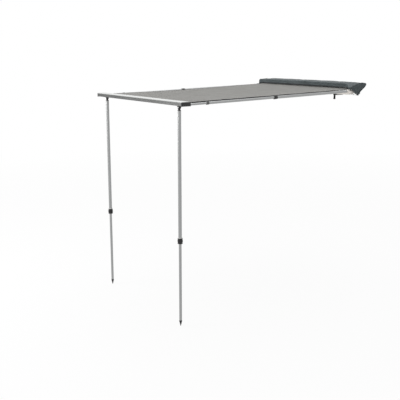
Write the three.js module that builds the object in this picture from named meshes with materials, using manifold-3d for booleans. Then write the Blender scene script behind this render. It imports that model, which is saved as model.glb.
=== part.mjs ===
// Vehicle side awning, deployed: a backing plate carries a cloth canopy, two telescoping side arms
// and a folded cover, and a front rail on two telescoping legs holds the canopy's outer edge.
// Millimetres. X points away from the vehicle, Y along the rail towards its front, Z up.
// The origin is the centre of the backing plate's rear face. Sides: +1 is the front, -1 the rear.
import * as THREE from 'three';
import { mergeVertices } from 'three/addons/utils/BufferGeometryUtils.js';
import Module from 'manifold-3d';

const wasm = await Module();
wasm.setup();

// Overall sizes
const railLength = 1400;
const reach = 2030;
const groundDrop = 1905;
const seatGap = 0.3;
const weldGap = 0.001;
const overrun = 2;
const roundSides = 20;
const smallSides = 12;
const shoulderSteps = 5;

// Backing plate
const plateHeight = 100;
const plateWeb = 3;
const slotSpacing = 50;
const slotMouth = 8.5;
const slotGroove = 14.5;
const slotLip = 2.5;
const slotDepth = 6.5;
const slotWall = 2.5;
const kederBore = 7.2;
const kederWall = 2;
const kederMouth = 3.2;
const kederRod = 6.6;
const kederStand = 9;
const canopyKederHeight = 8;
const endCapThick = 5.7;
const endCapDepth = 24;
const endCapLip = 1;
const endCapRound = 6;

// Rack brackets and their bolts
const bracketSpacing = 800;
const bracketWidth = 50;
const bracketThick = 5;
const bracketTop = 42;
const bracketDrop = 8;
const bracketFoot = 85;
const footSlotWidth = 9;
const footSlotLength = 40;
const footSlotInset = 48;
const boltRadius = 4;
const boltHole = 4.5;
const boltLength = 18;
const hexAcross = 13;
const boltHeadThick = 5.3;
const nutThick = 6.5;

// Front rail
const railDepth = 90;
const railHeight = 31;
const railWall = 2.2;
const railBottom = -55;
const railLipHeight = 9;
const railStep = 2;
const railNose = 10;
const railShoulder = 9;
const railKederDrop = 8;
const capFlange = 5.7;
const capDrop = 3;
const capBlockLength = 39;
const capBlockDepth = 46;
const notchSlack = 2.3;

// Side arms
const armInset = 24;
const frontPivotOut = 34;
const rearPivotOut = 70;
const armRootHeight = -8;
const armTipHeight = -46;
const foldDrop = 46;
const armOuterTube = 25;
const armMiddleTube = 21.5;
const armInnerTube = 18;
const tubeWall = 1.2;
const runGap = 0.3;
const tongueHeight = 20;
const tongueWidth = 18;
const tongueLength = 22;
const earThick = 4;
const earWidth = 34;
const pivotPin = 8;
const pinHeadRadius = 7;
const pinHeadThick = 3;
const armBaseThick = 4;
const armBaseLow = -36;
const armBaseHigh = 1;
const rootLength = 240;
const rootRibDepth = 30;
const rootRibWidth = 16;
const rootRibTaperStart = 96;
const rootSleeve = 30;
const rootSleeveStart = 48;
const rootSleeveLength = 62;
const armTubeStart = 62;
const armOuterLockInset = 906;
const armOuterLockLength = 36;
const armInnerLockInset = 179;
const armInnerLockLength = 24;
const armLockWall = 3.5;
const armMiddleOverlap = 138;
const armInnerOverlap = 130;
const armSocketDepth = 38;
const armTubeInSocket = 12;
const armTipLength = 20;
const armTipNose = 4;

// Legs
const legInset = 70;
const legOffset = 19;
const legPivotDrop = 17;
const legUpperTube = 29;
const legLowerTube = 23;
const legTubeTop = 22;
const legLockHeight = 745;
const legLockLength = 46;
const legLockRadius = 22;
const legOverlap = 320;
const legFootLength = 50;
const legFootTip = 4;
const legFootCollar = 12;
const legFootPlug = 20;
const legPlugLength = 40;
const legExpanderLength = 20;
const legBracketWidth = 26;
const legBracketLength = 34;
const legEarThick = 5;
const legEarRound = 8;
const legCheekInset = 2.5;
const legTongueThick = 13;
const legPin = 6;
const legPinHead = 5;
const legPinHeadThick = 2;
const fluteCount = 8;
const fluteRadius = 2;
const fluteSides = 6;
const lockChamfer = 2;

// Canopy, cover and straps
const canopyArmInset = 21;
const canopyThick = 1.2;
const canopySag = 26;
const canopyFrontEdgeSagShare = 0.15;
const canopyRearEdgeSagShare = 0.4;
const canopySteps = 16;
const canopyStrips = 12;
const coverFront = 36;
const coverSkirt = 20;
const coverFrontTop = 60;
const coverPeakBack = 30;
const coverTop = 72;
const coverBack = 100;
const coverBackTop = 65;
const coverRound = 5;
const coverInnerRound = 3;
const coverEndRound = 6;
const coverEndInset = 3;
const drapeSpread = 86;
const drapeRun = 150;
const drapeLow = 14;
const drapeTipTop = 34;
const panelThick = 6;
const panelDrop = 40;
const panelFootFront = 36;
const panelFootBack = 4;
const panelWaistBack = 22;
const strapSpacing = 796;
const strapWidth = 25;
const strapThick = 1.5;
const strapTop = -36;
const strapDrop = 105;
const strapFold = 16;
const strapLoop = 4;

// Values worked out from the sizes above
const halfLength = railLength / 2;
const plateHalf = halfLength - endCapThick - seatGap;
const halfHeight = plateHeight / 2;
const slotHousing = slotLip + slotDepth + slotWall;
const kederOuter = kederBore / 2 + kederWall;
const coverKederHeight = halfHeight - kederOuter;
const railRear = reach - railDepth;
const railTop = railBottom + railHeight;
const railKederHeight = railTop - railKederDrop;
const railKederOut = railRear + kederOuter;
const armY = halfLength - armInset;
const canopyHalfWidth = armY - canopyArmInset;
const armOuterEnd = railRear - frontPivotOut - armOuterLockInset;
const armInnerLockOut = railRear - armInnerLockInset;
const armSlope = Math.atan2(armRootHeight - armTipHeight, railRear - frontPivotOut);
const armFoldTilt = Math.asin(foldDrop / (armY + armY));
const legPivotHeight = railBottom - legPivotDrop;
const legY = halfLength - legInset;
const legGround = -groundDrop - legPivotHeight;
const legLockMiddle = legGround + legLockHeight;

// Finishes
function finish(color, roughness, metalness) {
  return new THREE.MeshStandardMaterial({ color, roughness, metalness });
}

const finishes = {
  extrusion: () => finish(0xc9cccb, 0.35, 0.9),
  tube: () => finish(0xd2d4d4, 0.3, 0.9),
  cast: () => finish(0xd9d2c8, 0.5, 0.6),
  blackPlastic: () => finish(0x191a1b, 0.55, 0),
  greyPlastic: () => finish(0x6b6c6c, 0.5, 0),
  blackSteel: () => finish(0x222325, 0.45, 0.6),
  zincSteel: () => finish(0xa9abad, 0.35, 0.9),
  canopyCloth: () => finish(0x8f8b84, 0.9, 0),
  coverCloth: () => finish(0x3c464a, 0.6, 0),
  webbing: () => finish(0x17181a, 0.85, 0),
  whiteCord: () => finish(0xd8d6d0, 0.7, 0),
};

// Solids for joins and cuts
function toSolid(geometry) {
  const merged = outward(geometry);
  return new wasm.Manifold(new wasm.Mesh({
    numProp: 3,
    vertProperties: Float32Array.from(merged.attributes.position.array),
    triVerts: Uint32Array.from(merged.index.array),
  }));
}

function toGeometry(solid) {
  const mesh = solid.getMesh();
  const geometry = new THREE.BufferGeometry();
  geometry.setAttribute('position', new THREE.BufferAttribute(mesh.vertProperties, 3));
  geometry.setIndex(new THREE.BufferAttribute(mesh.triVerts, 1));
  geometry.computeVertexNormals();
  return geometry;
}

function combine(adds, cuts = []) {
  let solid = toSolid(adds[0]);
  for (const extra of adds.slice(1)) solid = solid.add(toSolid(extra));
  for (const cutter of cuts) solid = solid.subtract(toSolid(cutter));
  return toGeometry(solid);
}

// Basic shapes
const cylinderAxis = new THREE.Vector3(0, 1, 0);

function box(low, high) {
  const size = high.map((value, axis) => value - low[axis]);
  const middle = high.map((value, axis) => (value + low[axis]) / 2);
  return new THREE.BoxGeometry(...size).translate(...middle);
}

// A round bar whose axis runs from one point to another along a main axis
function bar(radius, from, to, sides = roundSides, endRadius = radius) {
  const start = new THREE.Vector3(...from);
  const way = new THREE.Vector3(...to).sub(start);
  const geometry = new THREE.CylinderGeometry(endRadius, radius, way.length(), sides);
  const turn = new THREE.Quaternion().setFromUnitVectors(cylinderAxis, way.clone().normalize());
  return geometry.applyQuaternion(turn).translate(...start.addScaledVector(way, 1 / 2).toArray());
}

// A ring turned about a main axis: points are [distance along the axis, radius]
function ring(points, axis) {
  const outline = [...points, points[0]].map(([place, radius]) => new THREE.Vector2(radius, place));
  const geometry = new THREE.LatheGeometry(outline, roundSides);
  const turn = new THREE.Quaternion().setFromUnitVectors(cylinderAxis, new THREE.Vector3(...axis));
  return outward(geometry.applyQuaternion(turn));
}

function outward(geometry) {
  const merged = geometry.clone();
  merged.deleteAttribute('normal');
  merged.deleteAttribute('uv');
  const closed = mergeVertices(merged, weldGap);
  const index = closed.index.array;
  const place = closed.attributes.position;
  const [a, b, c] = [new THREE.Vector3(), new THREE.Vector3(), new THREE.Vector3()];
  const kept = [];
  let volume = 0;
  for (let at = 0; at < index.length; at += 3) {
    const corners = [index[at], index[at + 1], index[at + 2]];
    if (new Set(corners).size < corners.length) continue;
    [a, b, c].forEach((point, n) => point.fromBufferAttribute(place, corners[n]));
    volume += a.dot(b.cross(c));
    kept.push(corners);
  }
  closed.setIndex(kept.flatMap(([p, q, r]) => (volume < 0 ? [p, r, q] : [p, q, r])));
  closed.computeVertexNormals();
  return closed;
}

function tube(outer, wall, from, to, axis) {
  const radius = outer / 2;
  return ring([[from, radius], [to, radius], [to, radius - wall], [from, radius - wall]], axis);
}

// An outline in X and Z, drawn out along Y between two places
function drawnAlongY(outline, low, high) {
  const shape = new THREE.Shape(outline.map(([x, z]) => new THREE.Vector2(x, z)));
  const geometry = new THREE.ExtrudeGeometry(shape, { depth: high - low, bevelEnabled: false });
  return geometry.rotateX(Math.PI / 2).translate(0, high, 0);
}

function hexBar(across, fromX, toX, y, z) {
  const radius = across / Math.sqrt(3);
  const turned = new THREE.CylinderGeometry(radius, radius, toX - fromX, 6);
  return turned.rotateZ(Math.PI / 2).rotateX(Math.PI / 2).translate((fromX + toX) / 2, y, z);
}

const awning = new THREE.Group();

function piece(name, geometry, material, parent = awning) {
  const mesh = new THREE.Mesh(geometry, material());
  mesh.name = name;
  parent.add(mesh);
  return mesh;
}

const sides = [['front', 1], ['rear', -1]];

// Backing plate: a web with two rear T-slots and two rope-edge channels on its face
function kederChannel(x, z, low, high) {
  return bar(kederOuter, [x, low, z], [x, high, z], smallSides);
}

function kederCut(x, z, low, high, mouthTo) {
  const bore = bar(kederBore / 2, [x, low, z], [x, high, z], smallSides);
  const half = kederMouth / 2;
  const mouth = box([Math.min(x, mouthTo), low, z - half], [Math.max(x, mouthTo), high, z + half]);
  return [bore, mouth];
}

function backingPlate() {
  const ends = [-plateHalf, plateHalf];
  const beyond = [-plateHalf - overrun, plateHalf + overrun];
  const adds = [box([0, ends[0], -halfHeight], [plateWeb, ends[1], halfHeight])];
  const cuts = [];
  for (const z of [slotSpacing / 2, -slotSpacing / 2]) {
    const half = slotGroove / 2 + slotWall;
    adds.push(box([0, ends[0], z - half], [slotHousing, ends[1], z + half]));
    const [grooveLow, grooveHigh] = [z - slotGroove / 2, z + slotGroove / 2];
    const [mouthLow, mouthHigh] = [z - slotMouth / 2, z + slotMouth / 2];
    cuts.push(box([slotLip, beyond[0], grooveLow], [slotLip + slotDepth, beyond[1], grooveHigh]));
    cuts.push(box([-overrun, beyond[0], mouthLow], [slotLip + overrun, beyond[1], mouthHigh]));
  }
  for (const z of [canopyKederHeight, coverKederHeight]) {
    adds.push(kederChannel(kederStand, z, ...ends));
    const [low, high] = [z - kederWall, z + kederWall];
    adds.push(box([plateWeb - seatGap, ends[0], low], [kederStand - kederBore / 2, ends[1], high]));
    cuts.push(...kederCut(kederStand, z, ...beyond, kederStand + kederOuter + overrun));
  }
  return combine(adds, cuts);
}

function plateEndCap(side) {
  const high = halfHeight + endCapLip;
  const corner = endCapRound;
  const shape = new THREE.Shape();
  shape.moveTo(0, -high);
  shape.lineTo(endCapDepth - corner, -high);
  shape.absarc(endCapDepth - corner, -high + corner, corner, -Math.PI / 2, 0);
  shape.lineTo(endCapDepth, high - corner);
  shape.absarc(endCapDepth - corner, high - corner, corner, 0, Math.PI / 2);
  shape.lineTo(0, high);
  const low = side > 0 ? halfLength - endCapThick : -halfLength;
  const geometry = new THREE.ExtrudeGeometry(shape, {
    depth: endCapThick,
    bevelEnabled: false,
    curveSegments: 4,
  });
  return geometry.rotateX(Math.PI / 2).translate(0, low + endCapThick, 0);
}

// Rack brackets: an upright bolted to the plate and a slotted foot for a crossbar
function rackBracket(side) {
  const middle = side * bracketSpacing / 2;
  const [low, high] = [middle - bracketWidth / 2, middle + bracketWidth / 2];
  const face = -seatGap - bracketThick;
  const footTop = -halfHeight - bracketDrop;
  const footLow = footTop - bracketThick;
  const upright = box([face, low, footLow], [-seatGap, high, bracketTop]);
  const foot = box([-bracketFoot, low, footLow], [face + seatGap, high, footTop]);
  const cuts = [slotSpacing / 2, -slotSpacing / 2].map((z) => (
    bar(boltHole, [face - overrun, middle, z], [overrun, middle, z], smallSides)));
  const run = (footSlotLength - footSlotWidth) / 2;
  const below = footLow - overrun;
  const above = footTop + overrun;
  cuts.push(box([-footSlotInset - run, middle - footSlotWidth / 2, below],
    [-footSlotInset + run, middle + footSlotWidth / 2, above]));
  for (const end of [-run, run]) {
    const x = -footSlotInset + end;
    cuts.push(bar(footSlotWidth / 2, [x, middle, below], [x, middle, above], smallSides));
  }
  return combine([upright, foot], cuts);
}

function bracketBolt(y, z) {
  const headBack = slotLip + seatGap;
  const head = hexBar(hexAcross, headBack, headBack + boltHeadThick, y, z);
  const shankEnd = headBack + seatGap;
  const shank = bar(boltRadius, [shankEnd - boltLength, y, z], [shankEnd, y, z], smallSides);
  return combine([head, shank]);
}

function bracketNut(y, z) {
  const front = -seatGap - bracketThick - seatGap;
  const back = front - nutThick;
  const hole = bar(boltRadius + seatGap, [back - overrun, y, z], [front + overrun, y, z], smallSides);
  return combine([hexBar(hexAcross, back, front, y, z)], [hole]);
}

piece('backing_plate', backingPlate(), finishes.extrusion);
for (const [name, side] of sides) {
  piece(`plate_end_cap_${name}`, plateEndCap(side), finishes.blackPlastic);
  piece(`rack_bracket_${name}`, rackBracket(side), finishes.blackSteel);
  for (const [level, z] of [['upper', slotSpacing / 2], ['lower', -slotSpacing / 2]]) {
    const y = side * bracketSpacing / 2;
    piece(`rack_bolt_${name}_${level}`, bracketBolt(y, z), finishes.zincSteel);
    piece(`rack_nut_${name}_${level}`, bracketNut(y, z), finishes.zincSteel);
  }
}

// Canopy: one sagging sheet between two rope edges
function canopyHeight(along, across) {
  const line = THREE.MathUtils.lerp(canopyKederHeight, railKederHeight, along);
  const edgeShare = across > 0 ? canopyFrontEdgeSagShare : canopyRearEdgeSagShare;
  const slack = THREE.MathUtils.lerp(1, edgeShare, across * across);
  return line - canopySag * slack * Math.sin(Math.PI * along);
}

function canopySheet() {
  const start = kederStand + kederRod / 2 + seatGap;
  const end = railKederOut - kederRod / 2 - seatGap;
  const points = [];
  for (const layer of [1 / 2, -1 / 2]) {
    for (let step = 0; step <= canopySteps; step += 1) {
      for (let strip = 0; strip <= canopyStrips; strip += 1) {
        const along = step / canopySteps;
        const across = strip / canopyStrips * 2 - 1;
        const height = canopyHeight(along, across) + layer * canopyThick;
        points.push(THREE.MathUtils.lerp(start, end, along), across * canopyHalfWidth, height);
      }
    }
  }
  const row = canopyStrips + 1;
  const layerSize = row * (canopySteps + 1);
  const faces = [];
  const quad = (a, b, c, d) => faces.push(a, b, c, a, c, d);
  for (let step = 0; step < canopySteps; step += 1) {
    for (let strip = 0; strip < canopyStrips; strip += 1) {
      const at = step * row + strip;
      quad(at, at + row, at + row + 1, at + 1);
      quad(at + layerSize, at + layerSize + 1, at + layerSize + row + 1, at + layerSize + row);
    }
    const low = step * row;
    const high = low + canopyStrips;
    quad(low, low + layerSize, low + layerSize + row, low + row);
    quad(high, high + row, high + row + layerSize, high + layerSize);
  }
  const last = canopySteps * row;
  for (let strip = 0; strip < canopyStrips; strip += 1) {
    quad(strip, strip + 1, strip + 1 + layerSize, strip + layerSize);
    quad(last + strip, last + strip + layerSize, last + strip + 1 + layerSize, last + strip + 1);
  }
  const geometry = new THREE.BufferGeometry();
  geometry.setAttribute('position', new THREE.Float32BufferAttribute(points, 3));
  geometry.setIndex(faces);
  return outward(geometry);
}

function kederRodBar(x, z, half) {
  return bar(kederRod / 2, [x, -half, z], [x, half, z], smallSides);
}

piece('canopy', canopySheet(), finishes.canopyCloth);
piece('canopy_rope_plate', kederRodBar(kederStand, canopyKederHeight, canopyHalfWidth), finishes.whiteCord);
piece('canopy_rope_rail', kederRodBar(railKederOut, railKederHeight, canopyHalfWidth), finishes.whiteCord);

// Cover: opened and laid over the top of the plate, with an end panel hanging at each end
const coverUnder = halfHeight + endCapLip + seatGap;
const coverInner = endCapDepth + seatGap;
const drapeTip = coverFront + drapeSpread;

function cornerCut(points, radii) {
  const shape = new THREE.Shape();
  points.forEach((corner, n) => {
    const radius = radii[n];
    const before = points[(n + points.length - 1) % points.length];
    const after = points[(n + 1) % points.length];
    const into = before.clone().sub(corner);
    const out = after.clone().sub(corner);
    const start = corner.clone().addScaledVector(into, radius / into.length());
    const end = corner.clone().addScaledVector(out, radius / out.length());
    if (n === 0) shape.moveTo(start.x, start.y);
    else shape.lineTo(start.x, start.y);
    shape.quadraticCurveTo(corner.x, corner.y, end.x, end.y);
  });
  return shape;
}

// The cover's front end spreads out over the front arm's root
function coverDrape() {
  const start = halfLength - drapeRun;
  const roof = coverFrontTop - coverRound;
  const spread = drawnAlongY([[coverInner, drapeLow], [drapeTip, drapeLow], [drapeTip, drapeTipTop],
    [coverFront, roof], [coverInner, roof]], start, halfLength);
  const beside = new THREE.Shape([[coverFront, start - overrun], [coverFront, start],
    [drapeTip + overrun, halfLength], [drapeTip + overrun, start - overrun]]
    .map(([x, y]) => new THREE.Vector2(x, y)));
  const wedge = new THREE.ExtrudeGeometry(beside, { depth: coverTop, bevelEnabled: false });
  return combine([spread], [wedge]);
}

function coverBody() {
  const corners = [[coverInner, coverUnder], [coverInner, coverSkirt], [coverFront, coverSkirt],
    [coverFront, coverFrontTop], [-coverPeakBack, coverTop], [-coverBack, coverBackTop],
    [-coverBack, coverUnder]];
  const radii = corners.map((corner, n) => (n === 0 ? coverInnerRound : coverRound));
  const shape = cornerCut(corners.map(([x, z]) => new THREE.Vector2(x, z)), radii);
  const half = halfLength - coverEndRound;
  const geometry = new THREE.ExtrudeGeometry(shape, {
    depth: half * 2,
    bevelThickness: coverEndRound,
    bevelSize: coverEndInset,
    bevelOffset: -coverEndInset,
    bevelSegments: 2,
    curveSegments: 3,
  });
  const body = geometry.rotateX(Math.PI / 2).translate(0, half, 0);
  const tabHalf = canopyThick / 2;
  const tab = box([kederStand + kederRod / 2 + seatGap, -plateHalf, coverKederHeight - tabHalf],
    [(coverInner + coverFront) / 2, plateHalf, coverKederHeight + tabHalf]);
  return combine([body, coverDrape(), tab]);
}

// An end panel falls from the cover's end and is gathered at its foot
function coverEndPanel(side) {
  const [front, low, high] = side > 0
    ? [drapeTip, drapeLow, drapeTipTop]
    : [coverFront, coverSkirt, coverFrontTop - coverRound];
  const back = -coverBack + coverRound;
  const outline = [[back, coverUnder], [back, coverBackTop - coverRound],
    [-coverPeakBack, coverTop - coverRound], [coverFront - coverRound, coverFrontTop - coverRound],
    [front, high], [front, low], [panelFootFront, -panelDrop], [-panelFootBack, -panelDrop],
    [-panelWaistBack, 0]];
  const near = halfLength + seatGap;
  const far = near + panelThick;
  return drawnAlongY(outline, side > 0 ? near : -far, side > 0 ? far : -near);
}

function strap(side) {
  const middle = side * strapSpacing / 2;
  const [low, high] = [middle - strapWidth / 2, middle + strapWidth / 2];
  const back = plateWeb + seatGap;
  const band = box([back, low, -strapDrop], [back + strapThick, high, strapTop]);
  const fold = box([back, low, -strapDrop], [back + strapLoop, high, -strapDrop + strapFold]);
  return combine([band, fold]);
}

piece('cover_bag', coverBody(), finishes.coverCloth);
piece('cover_rope', kederRodBar(kederStand, coverKederHeight, plateHalf), finishes.whiteCord);
for (const [name, side] of sides) {
  piece(`cover_end_panel_${name}`, coverEndPanel(side), finishes.coverCloth);
  piece(`storage_strap_${name}`, strap(side), finishes.webbing);
}

// Twist lock: a fluted collar over a tube's end, stepped down to the tube inside it
function twistLock(radius, length, outerTube, innerTube, from, towards, axis) {
  const way = Math.sign(towards);
  const step = from + way * (length / 2 + seatGap);
  const end = from + way * length;
  const wide = outerTube / 2 + seatGap;
  const narrow = innerTube / 2 + runGap;
  const slant = way * lockChamfer;
  const body = ring([[from, wide], [from, radius - lockChamfer], [from + slant, radius],
    [end - slant, radius], [end, radius - lockChamfer], [end, narrow], [step, narrow], [step, wide]], axis);
  const centreLine = new THREE.Vector3(...axis);
  const across = new THREE.Vector3(axis[2], axis[0], 0).multiplyScalar(radius + fluteRadius / 2);
  const cuts = [];
  for (let flute = 0; flute < fluteCount; flute += 1) {
    const spot = across.clone().applyAxisAngle(centreLine, flute / fluteCount * Math.PI * 2);
    const start = spot.clone().addScaledVector(centreLine, from - way * overrun);
    const stop = spot.clone().addScaledVector(centreLine, end + way * overrun);
    cuts.push(bar(fluteRadius, start.toArray(), stop.toArray(), fluteSides));
  }
  return combine([body], cuts);
}

// Side arms: bracket and pin on the plate, then root and three tubes along the arm's own X
const armAxis = [1, 0, 0];

function armFrame(side) {
  const out = side > 0 ? frontPivotOut : rearPivotOut;
  const height = armRootHeight - (out - frontPivotOut) * Math.tan(armSlope);
  const frame = new THREE.Group();
  frame.position.set(out, side * armY, height);
  frame.rotation.set(side * armFoldTilt, armSlope, 0, 'YXZ');
  frame.updateMatrix();
  return frame;
}

function armReach(frame, x) {
  return (x - frame.position.x) / Math.cos(armSlope);
}

function armBracket(side, frame) {
  const y = frame.position.y;
  const base = box([slotHousing + seatGap, y - earWidth / 2, armBaseLow],
    [slotHousing + seatGap + armBaseThick, y + earWidth / 2, armBaseHigh]);
  const inner = tongueHeight / 2 + runGap;
  const outer = inner + earThick;
  const wallBack = kederStand + kederOuter + seatGap * 2 - frame.position.x;
  const shapes = [box([wallBack, -earWidth / 2, -outer], [wallBack + armBaseThick, earWidth / 2, outer])];
  for (const [low, high] of [[inner, outer], [-outer, -inner]]) {
    shapes.push(box([wallBack, -earWidth / 2, low], [0, earWidth / 2, high]));
    shapes.push(bar(earWidth / 2, [0, 0, low], [0, 0, high]));
  }
  const hole = bar(pivotPin / 2 + runGap, [0, 0, -outer - overrun], [0, 0, outer + overrun], smallSides);
  const placed = (geometry) => geometry.applyMatrix4(frame.matrix);
  return combine([base, ...shapes.map(placed)], [placed(hole)]);
}

function armPin() {
  const face = tongueHeight / 2 + runGap + earThick + seatGap;
  const shank = bar(pivotPin / 2, [0, 0, -face - pinHeadThick], [0, 0, face + pinHeadThick], smallSides);
  const head = bar(pinHeadRadius, [0, 0, face], [0, 0, face + pinHeadThick]);
  const foot = bar(pinHeadRadius, [0, 0, -face - pinHeadThick], [0, 0, -face]);
  return combine([shank, head, foot]);
}

function armRoot() {
  const half = tongueWidth / 2;
  const top = tongueHeight / 2;
  const tubeRadius = armOuterTube / 2;
  const sleeveEnd = rootSleeveStart + rootSleeveLength;
  const tongue = box([0, -half, -top], [tongueLength + overrun, half, top]);
  const eye = bar(half, [0, 0, -top], [0, 0, top]);
  const outline = [[tongueLength, top], [tongueLength, -rootRibDepth], [rootRibTaperStart, -rootRibDepth],
    [rootLength, -tubeRadius - earThick], [rootLength, -tubeRadius / 2],
    [sleeveEnd, -tubeRadius / 2], [armTubeStart, top]];
  const rib = drawnAlongY(outline, -rootRibWidth / 2, rootRibWidth / 2);
  const sleeve = bar(rootSleeve / 2, [rootSleeveStart, 0, 0], [sleeveEnd, 0, 0]);
  const hole = bar(pivotPin / 2 + runGap, [0, 0, -top - overrun], [0, 0, top + overrun], smallSides);
  const bore = bar(tubeRadius + seatGap, [armTubeStart, 0, 0], [rootLength + overrun, 0, 0]);
  return combine([tongue, eye, rib, sleeve], [hole, bore]);
}

function armTip(start) {
  const radius = armInnerTube / 2;
  const plugRadius = radius - tubeWall - seatGap;
  const end = start + armTipLength;
  const shoulder = end - armTipNose;
  const spigot = bar(plugRadius, [start - armTipLength, 0, 0], [start + seatGap * 2, 0, 0]);
  const body = bar(radius, [start + seatGap, 0, 0], [shoulder, 0, 0]);
  const nose = bar(radius, [shoulder, 0, 0], [end, 0, 0], roundSides, radius - armTipNose);
  return combine([spigot, body, nose]);
}

const armFrames = {};
for (const [name, side] of sides) {
  const frame = armFrame(side);
  armFrames[name] = frame;
  awning.add(frame);
  const innerLock = armReach(frame, armInnerLockOut);
  const middleStart = armOuterEnd - armMiddleOverlap - (frame.position.x - frontPivotOut);
  const tubeEnd = armReach(frame, railRear) + armTubeInSocket;
  const outerLockRadius = armOuterTube / 2 + armLockWall;
  const innerLockRadius = armMiddleTube / 2 + armLockWall;
  piece(`arm_bracket_${name}`, armBracket(side, frame), finishes.blackSteel);
  piece(`arm_pin_${name}`, armPin(), finishes.zincSteel, frame);
  piece(`arm_root_${name}`, armRoot(), finishes.cast, frame);
  const outerTube = tube(armOuterTube, tubeWall, armTubeStart + seatGap, armOuterEnd, armAxis);
  piece(`arm_outer_tube_${name}`, outerTube, finishes.tube, frame);
  const outerLock = twistLock(outerLockRadius, armOuterLockLength, armOuterTube, armMiddleTube,
    armOuterEnd - armOuterLockLength / 2, 1, armAxis);
  piece(`arm_outer_lock_${name}`, outerLock, finishes.blackPlastic, frame);
  const middleTube = tube(armMiddleTube, tubeWall, middleStart, innerLock, armAxis);
  piece(`arm_middle_tube_${name}`, middleTube, finishes.tube, frame);
  const collar = twistLock(innerLockRadius, armInnerLockLength, armMiddleTube, armInnerTube,
    innerLock - armInnerLockLength / 2, 1, armAxis);
  piece(`arm_inner_lock_${name}`, collar, finishes.greyPlastic, frame);
  const innerTube = tube(armInnerTube, tubeWall, innerLock - armInnerOverlap, tubeEnd, armAxis);
  piece(`arm_inner_tube_${name}`, innerTube, finishes.tube, frame);
  piece(`arm_tip_${name}`, armTip(tubeEnd), finishes.blackPlastic, frame);
}

// Front rail: a channel open underneath, with a rope-edge channel at the back and a stepped face
const railHalf = halfLength - capFlange - seatGap;
const notchStart = railHalf - capBlockLength;
const notchTop = armTipHeight + armInnerTube / 2 + notchSlack;
const channelBack = railRear + railWall;
const channelFront = reach - railStep - railWall;
const channelRoof = railTop - railWall;

// A box section with its top front corner rounded
function shouldered(rear, front, low, high, round) {
  const shoulder = new THREE.Shape().absarc(front - round, high - round, round, 0, Math.PI / 2);
  const bend = shoulder.getPoints(shoulderSteps).map((point) => [point.x, point.y]);
  return [[rear, low], [front, low], ...bend, [rear, high]];
}

function frontRail() {
  const past = railHalf + overrun;
  const section = shouldered(railRear, reach, railBottom, railTop, railShoulder);
  const body = drawnAlongY(section, -railHalf, railHalf);
  const hollow = shouldered(channelBack, channelFront, railBottom - overrun, channelRoof,
    railShoulder - railWall);
  const channel = drawnAlongY(hollow, -past, past);
  const stepLow = railBottom + railLipHeight;
  const step = box([reach - railStep, -past, stepLow], [reach + overrun, past, railTop - railNose]);
  const kederBack = railRear + kederOuter * 2;
  const kederLow = railKederHeight - kederOuter;
  const keder = box([railRear, -railHalf, kederLow], [kederBack, railHalf, channelRoof + seatGap]);
  const cuts = kederCut(railKederOut, railKederHeight, -past, past, railRear - overrun);
  for (const [, side] of sides) {
    const [low, high] = side > 0 ? [notchStart, past] : [-past, -notchStart];
    cuts.push(box([railRear - overrun, low, railBottom - overrun], [kederBack + overrun, high, notchTop]));
  }
  return combine([combine([body], [channel, step]), keder], cuts);
}

function railEndCap(side, frame) {
  const inner = halfLength - capFlange;
  const across = (low, high) => (side > 0 ? [low, high] : [-high, -low]);
  const flangeY = across(inner, halfLength);
  const blockY = across(notchStart + seatGap, inner + seatGap);
  const base = railBottom - capDrop;
  const kederBack = railRear + kederOuter * 2 + seatGap;
  const flange = drawnAlongY(shouldered(railRear, reach, base, railTop, railShoulder), ...flangeY);
  const mouth = box([railRear, blockY[0], base], [kederBack + overrun, blockY[1], notchTop - seatGap]);
  const blockFront = railRear + capBlockDepth;
  const block = box([kederBack, blockY[0], base], [blockFront, blockY[1], channelRoof - seatGap]);
  const from = armReach(frame, railRear) - overrun * 2;
  const to = armReach(frame, railRear + armSocketDepth);
  const socket = bar(armInnerTube / 2 + runGap, [from, 0, 0], [to, 0, 0]);
  return combine([flange, mouth, block], [socket.applyMatrix4(frame.matrix)]);
}

piece('front_rail', frontRail(), finishes.extrusion);
for (const [name, side] of sides) {
  piece(`rail_end_cap_${name}`, railEndCap(side, armFrames[name]), finishes.blackPlastic);
}

// Legs: a bracket inside the rail, then knuckle, tubes, lock and foot down the leg's own -Z
const legAxis = [0, 0, 1];

function legBracket() {
  const top = channelRoof - seatGap - legPivotHeight;
  const low = railBottom - legPivotHeight - seatGap * 2;
  const slotHalf = legTongueThick / 2 + runGap;
  const earOut = slotHalf + legEarThick;
  const [halfWide, halfLong] = [legBracketWidth / 2, legBracketLength / 2];
  const block = box([-halfWide, -halfLong, low], [halfWide, halfLong, top]);
  const neck = halfLong - legCheekInset;
  const cheek = new THREE.Shape();
  cheek.moveTo(-neck, low + seatGap);
  cheek.lineTo(-legEarRound, 0);
  cheek.absarc(0, 0, legEarRound, Math.PI, Math.PI * 2);
  cheek.lineTo(neck, low + seatGap);
  const ears = new THREE.ExtrudeGeometry(cheek, {
    depth: earOut * 2,
    bevelEnabled: false,
    curveSegments: 8,
  });
  ears.rotateX(Math.PI / 2).rotateZ(Math.PI / 2).translate(-earOut, 0, 0);
  const slotTop = legEarRound + overrun;
  const slotLow = [-slotHalf, -legBracketLength, -legBracketLength];
  const slot = box(slotLow, [slotHalf, legBracketLength, slotTop]);
  const hole = bar(legPin / 2 + runGap, [-earOut - overrun, 0, 0], [earOut + overrun, 0, 0], smallSides);
  return combine([block, ears], [slot, hole]);
}

function legPinBar() {
  const face = legTongueThick / 2 + runGap + legEarThick + seatGap;
  const end = face + legPinHeadThick;
  const shank = bar(legPin / 2, [-end, 0, 0], [end, 0, 0], smallSides);
  const heads = [[-end, -face], [face, end]].map(([from, to]) => (
    bar(legPinHead, [from, 0, 0], [to, 0, 0], smallSides)));
  return combine([shank, ...heads]);
}

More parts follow.
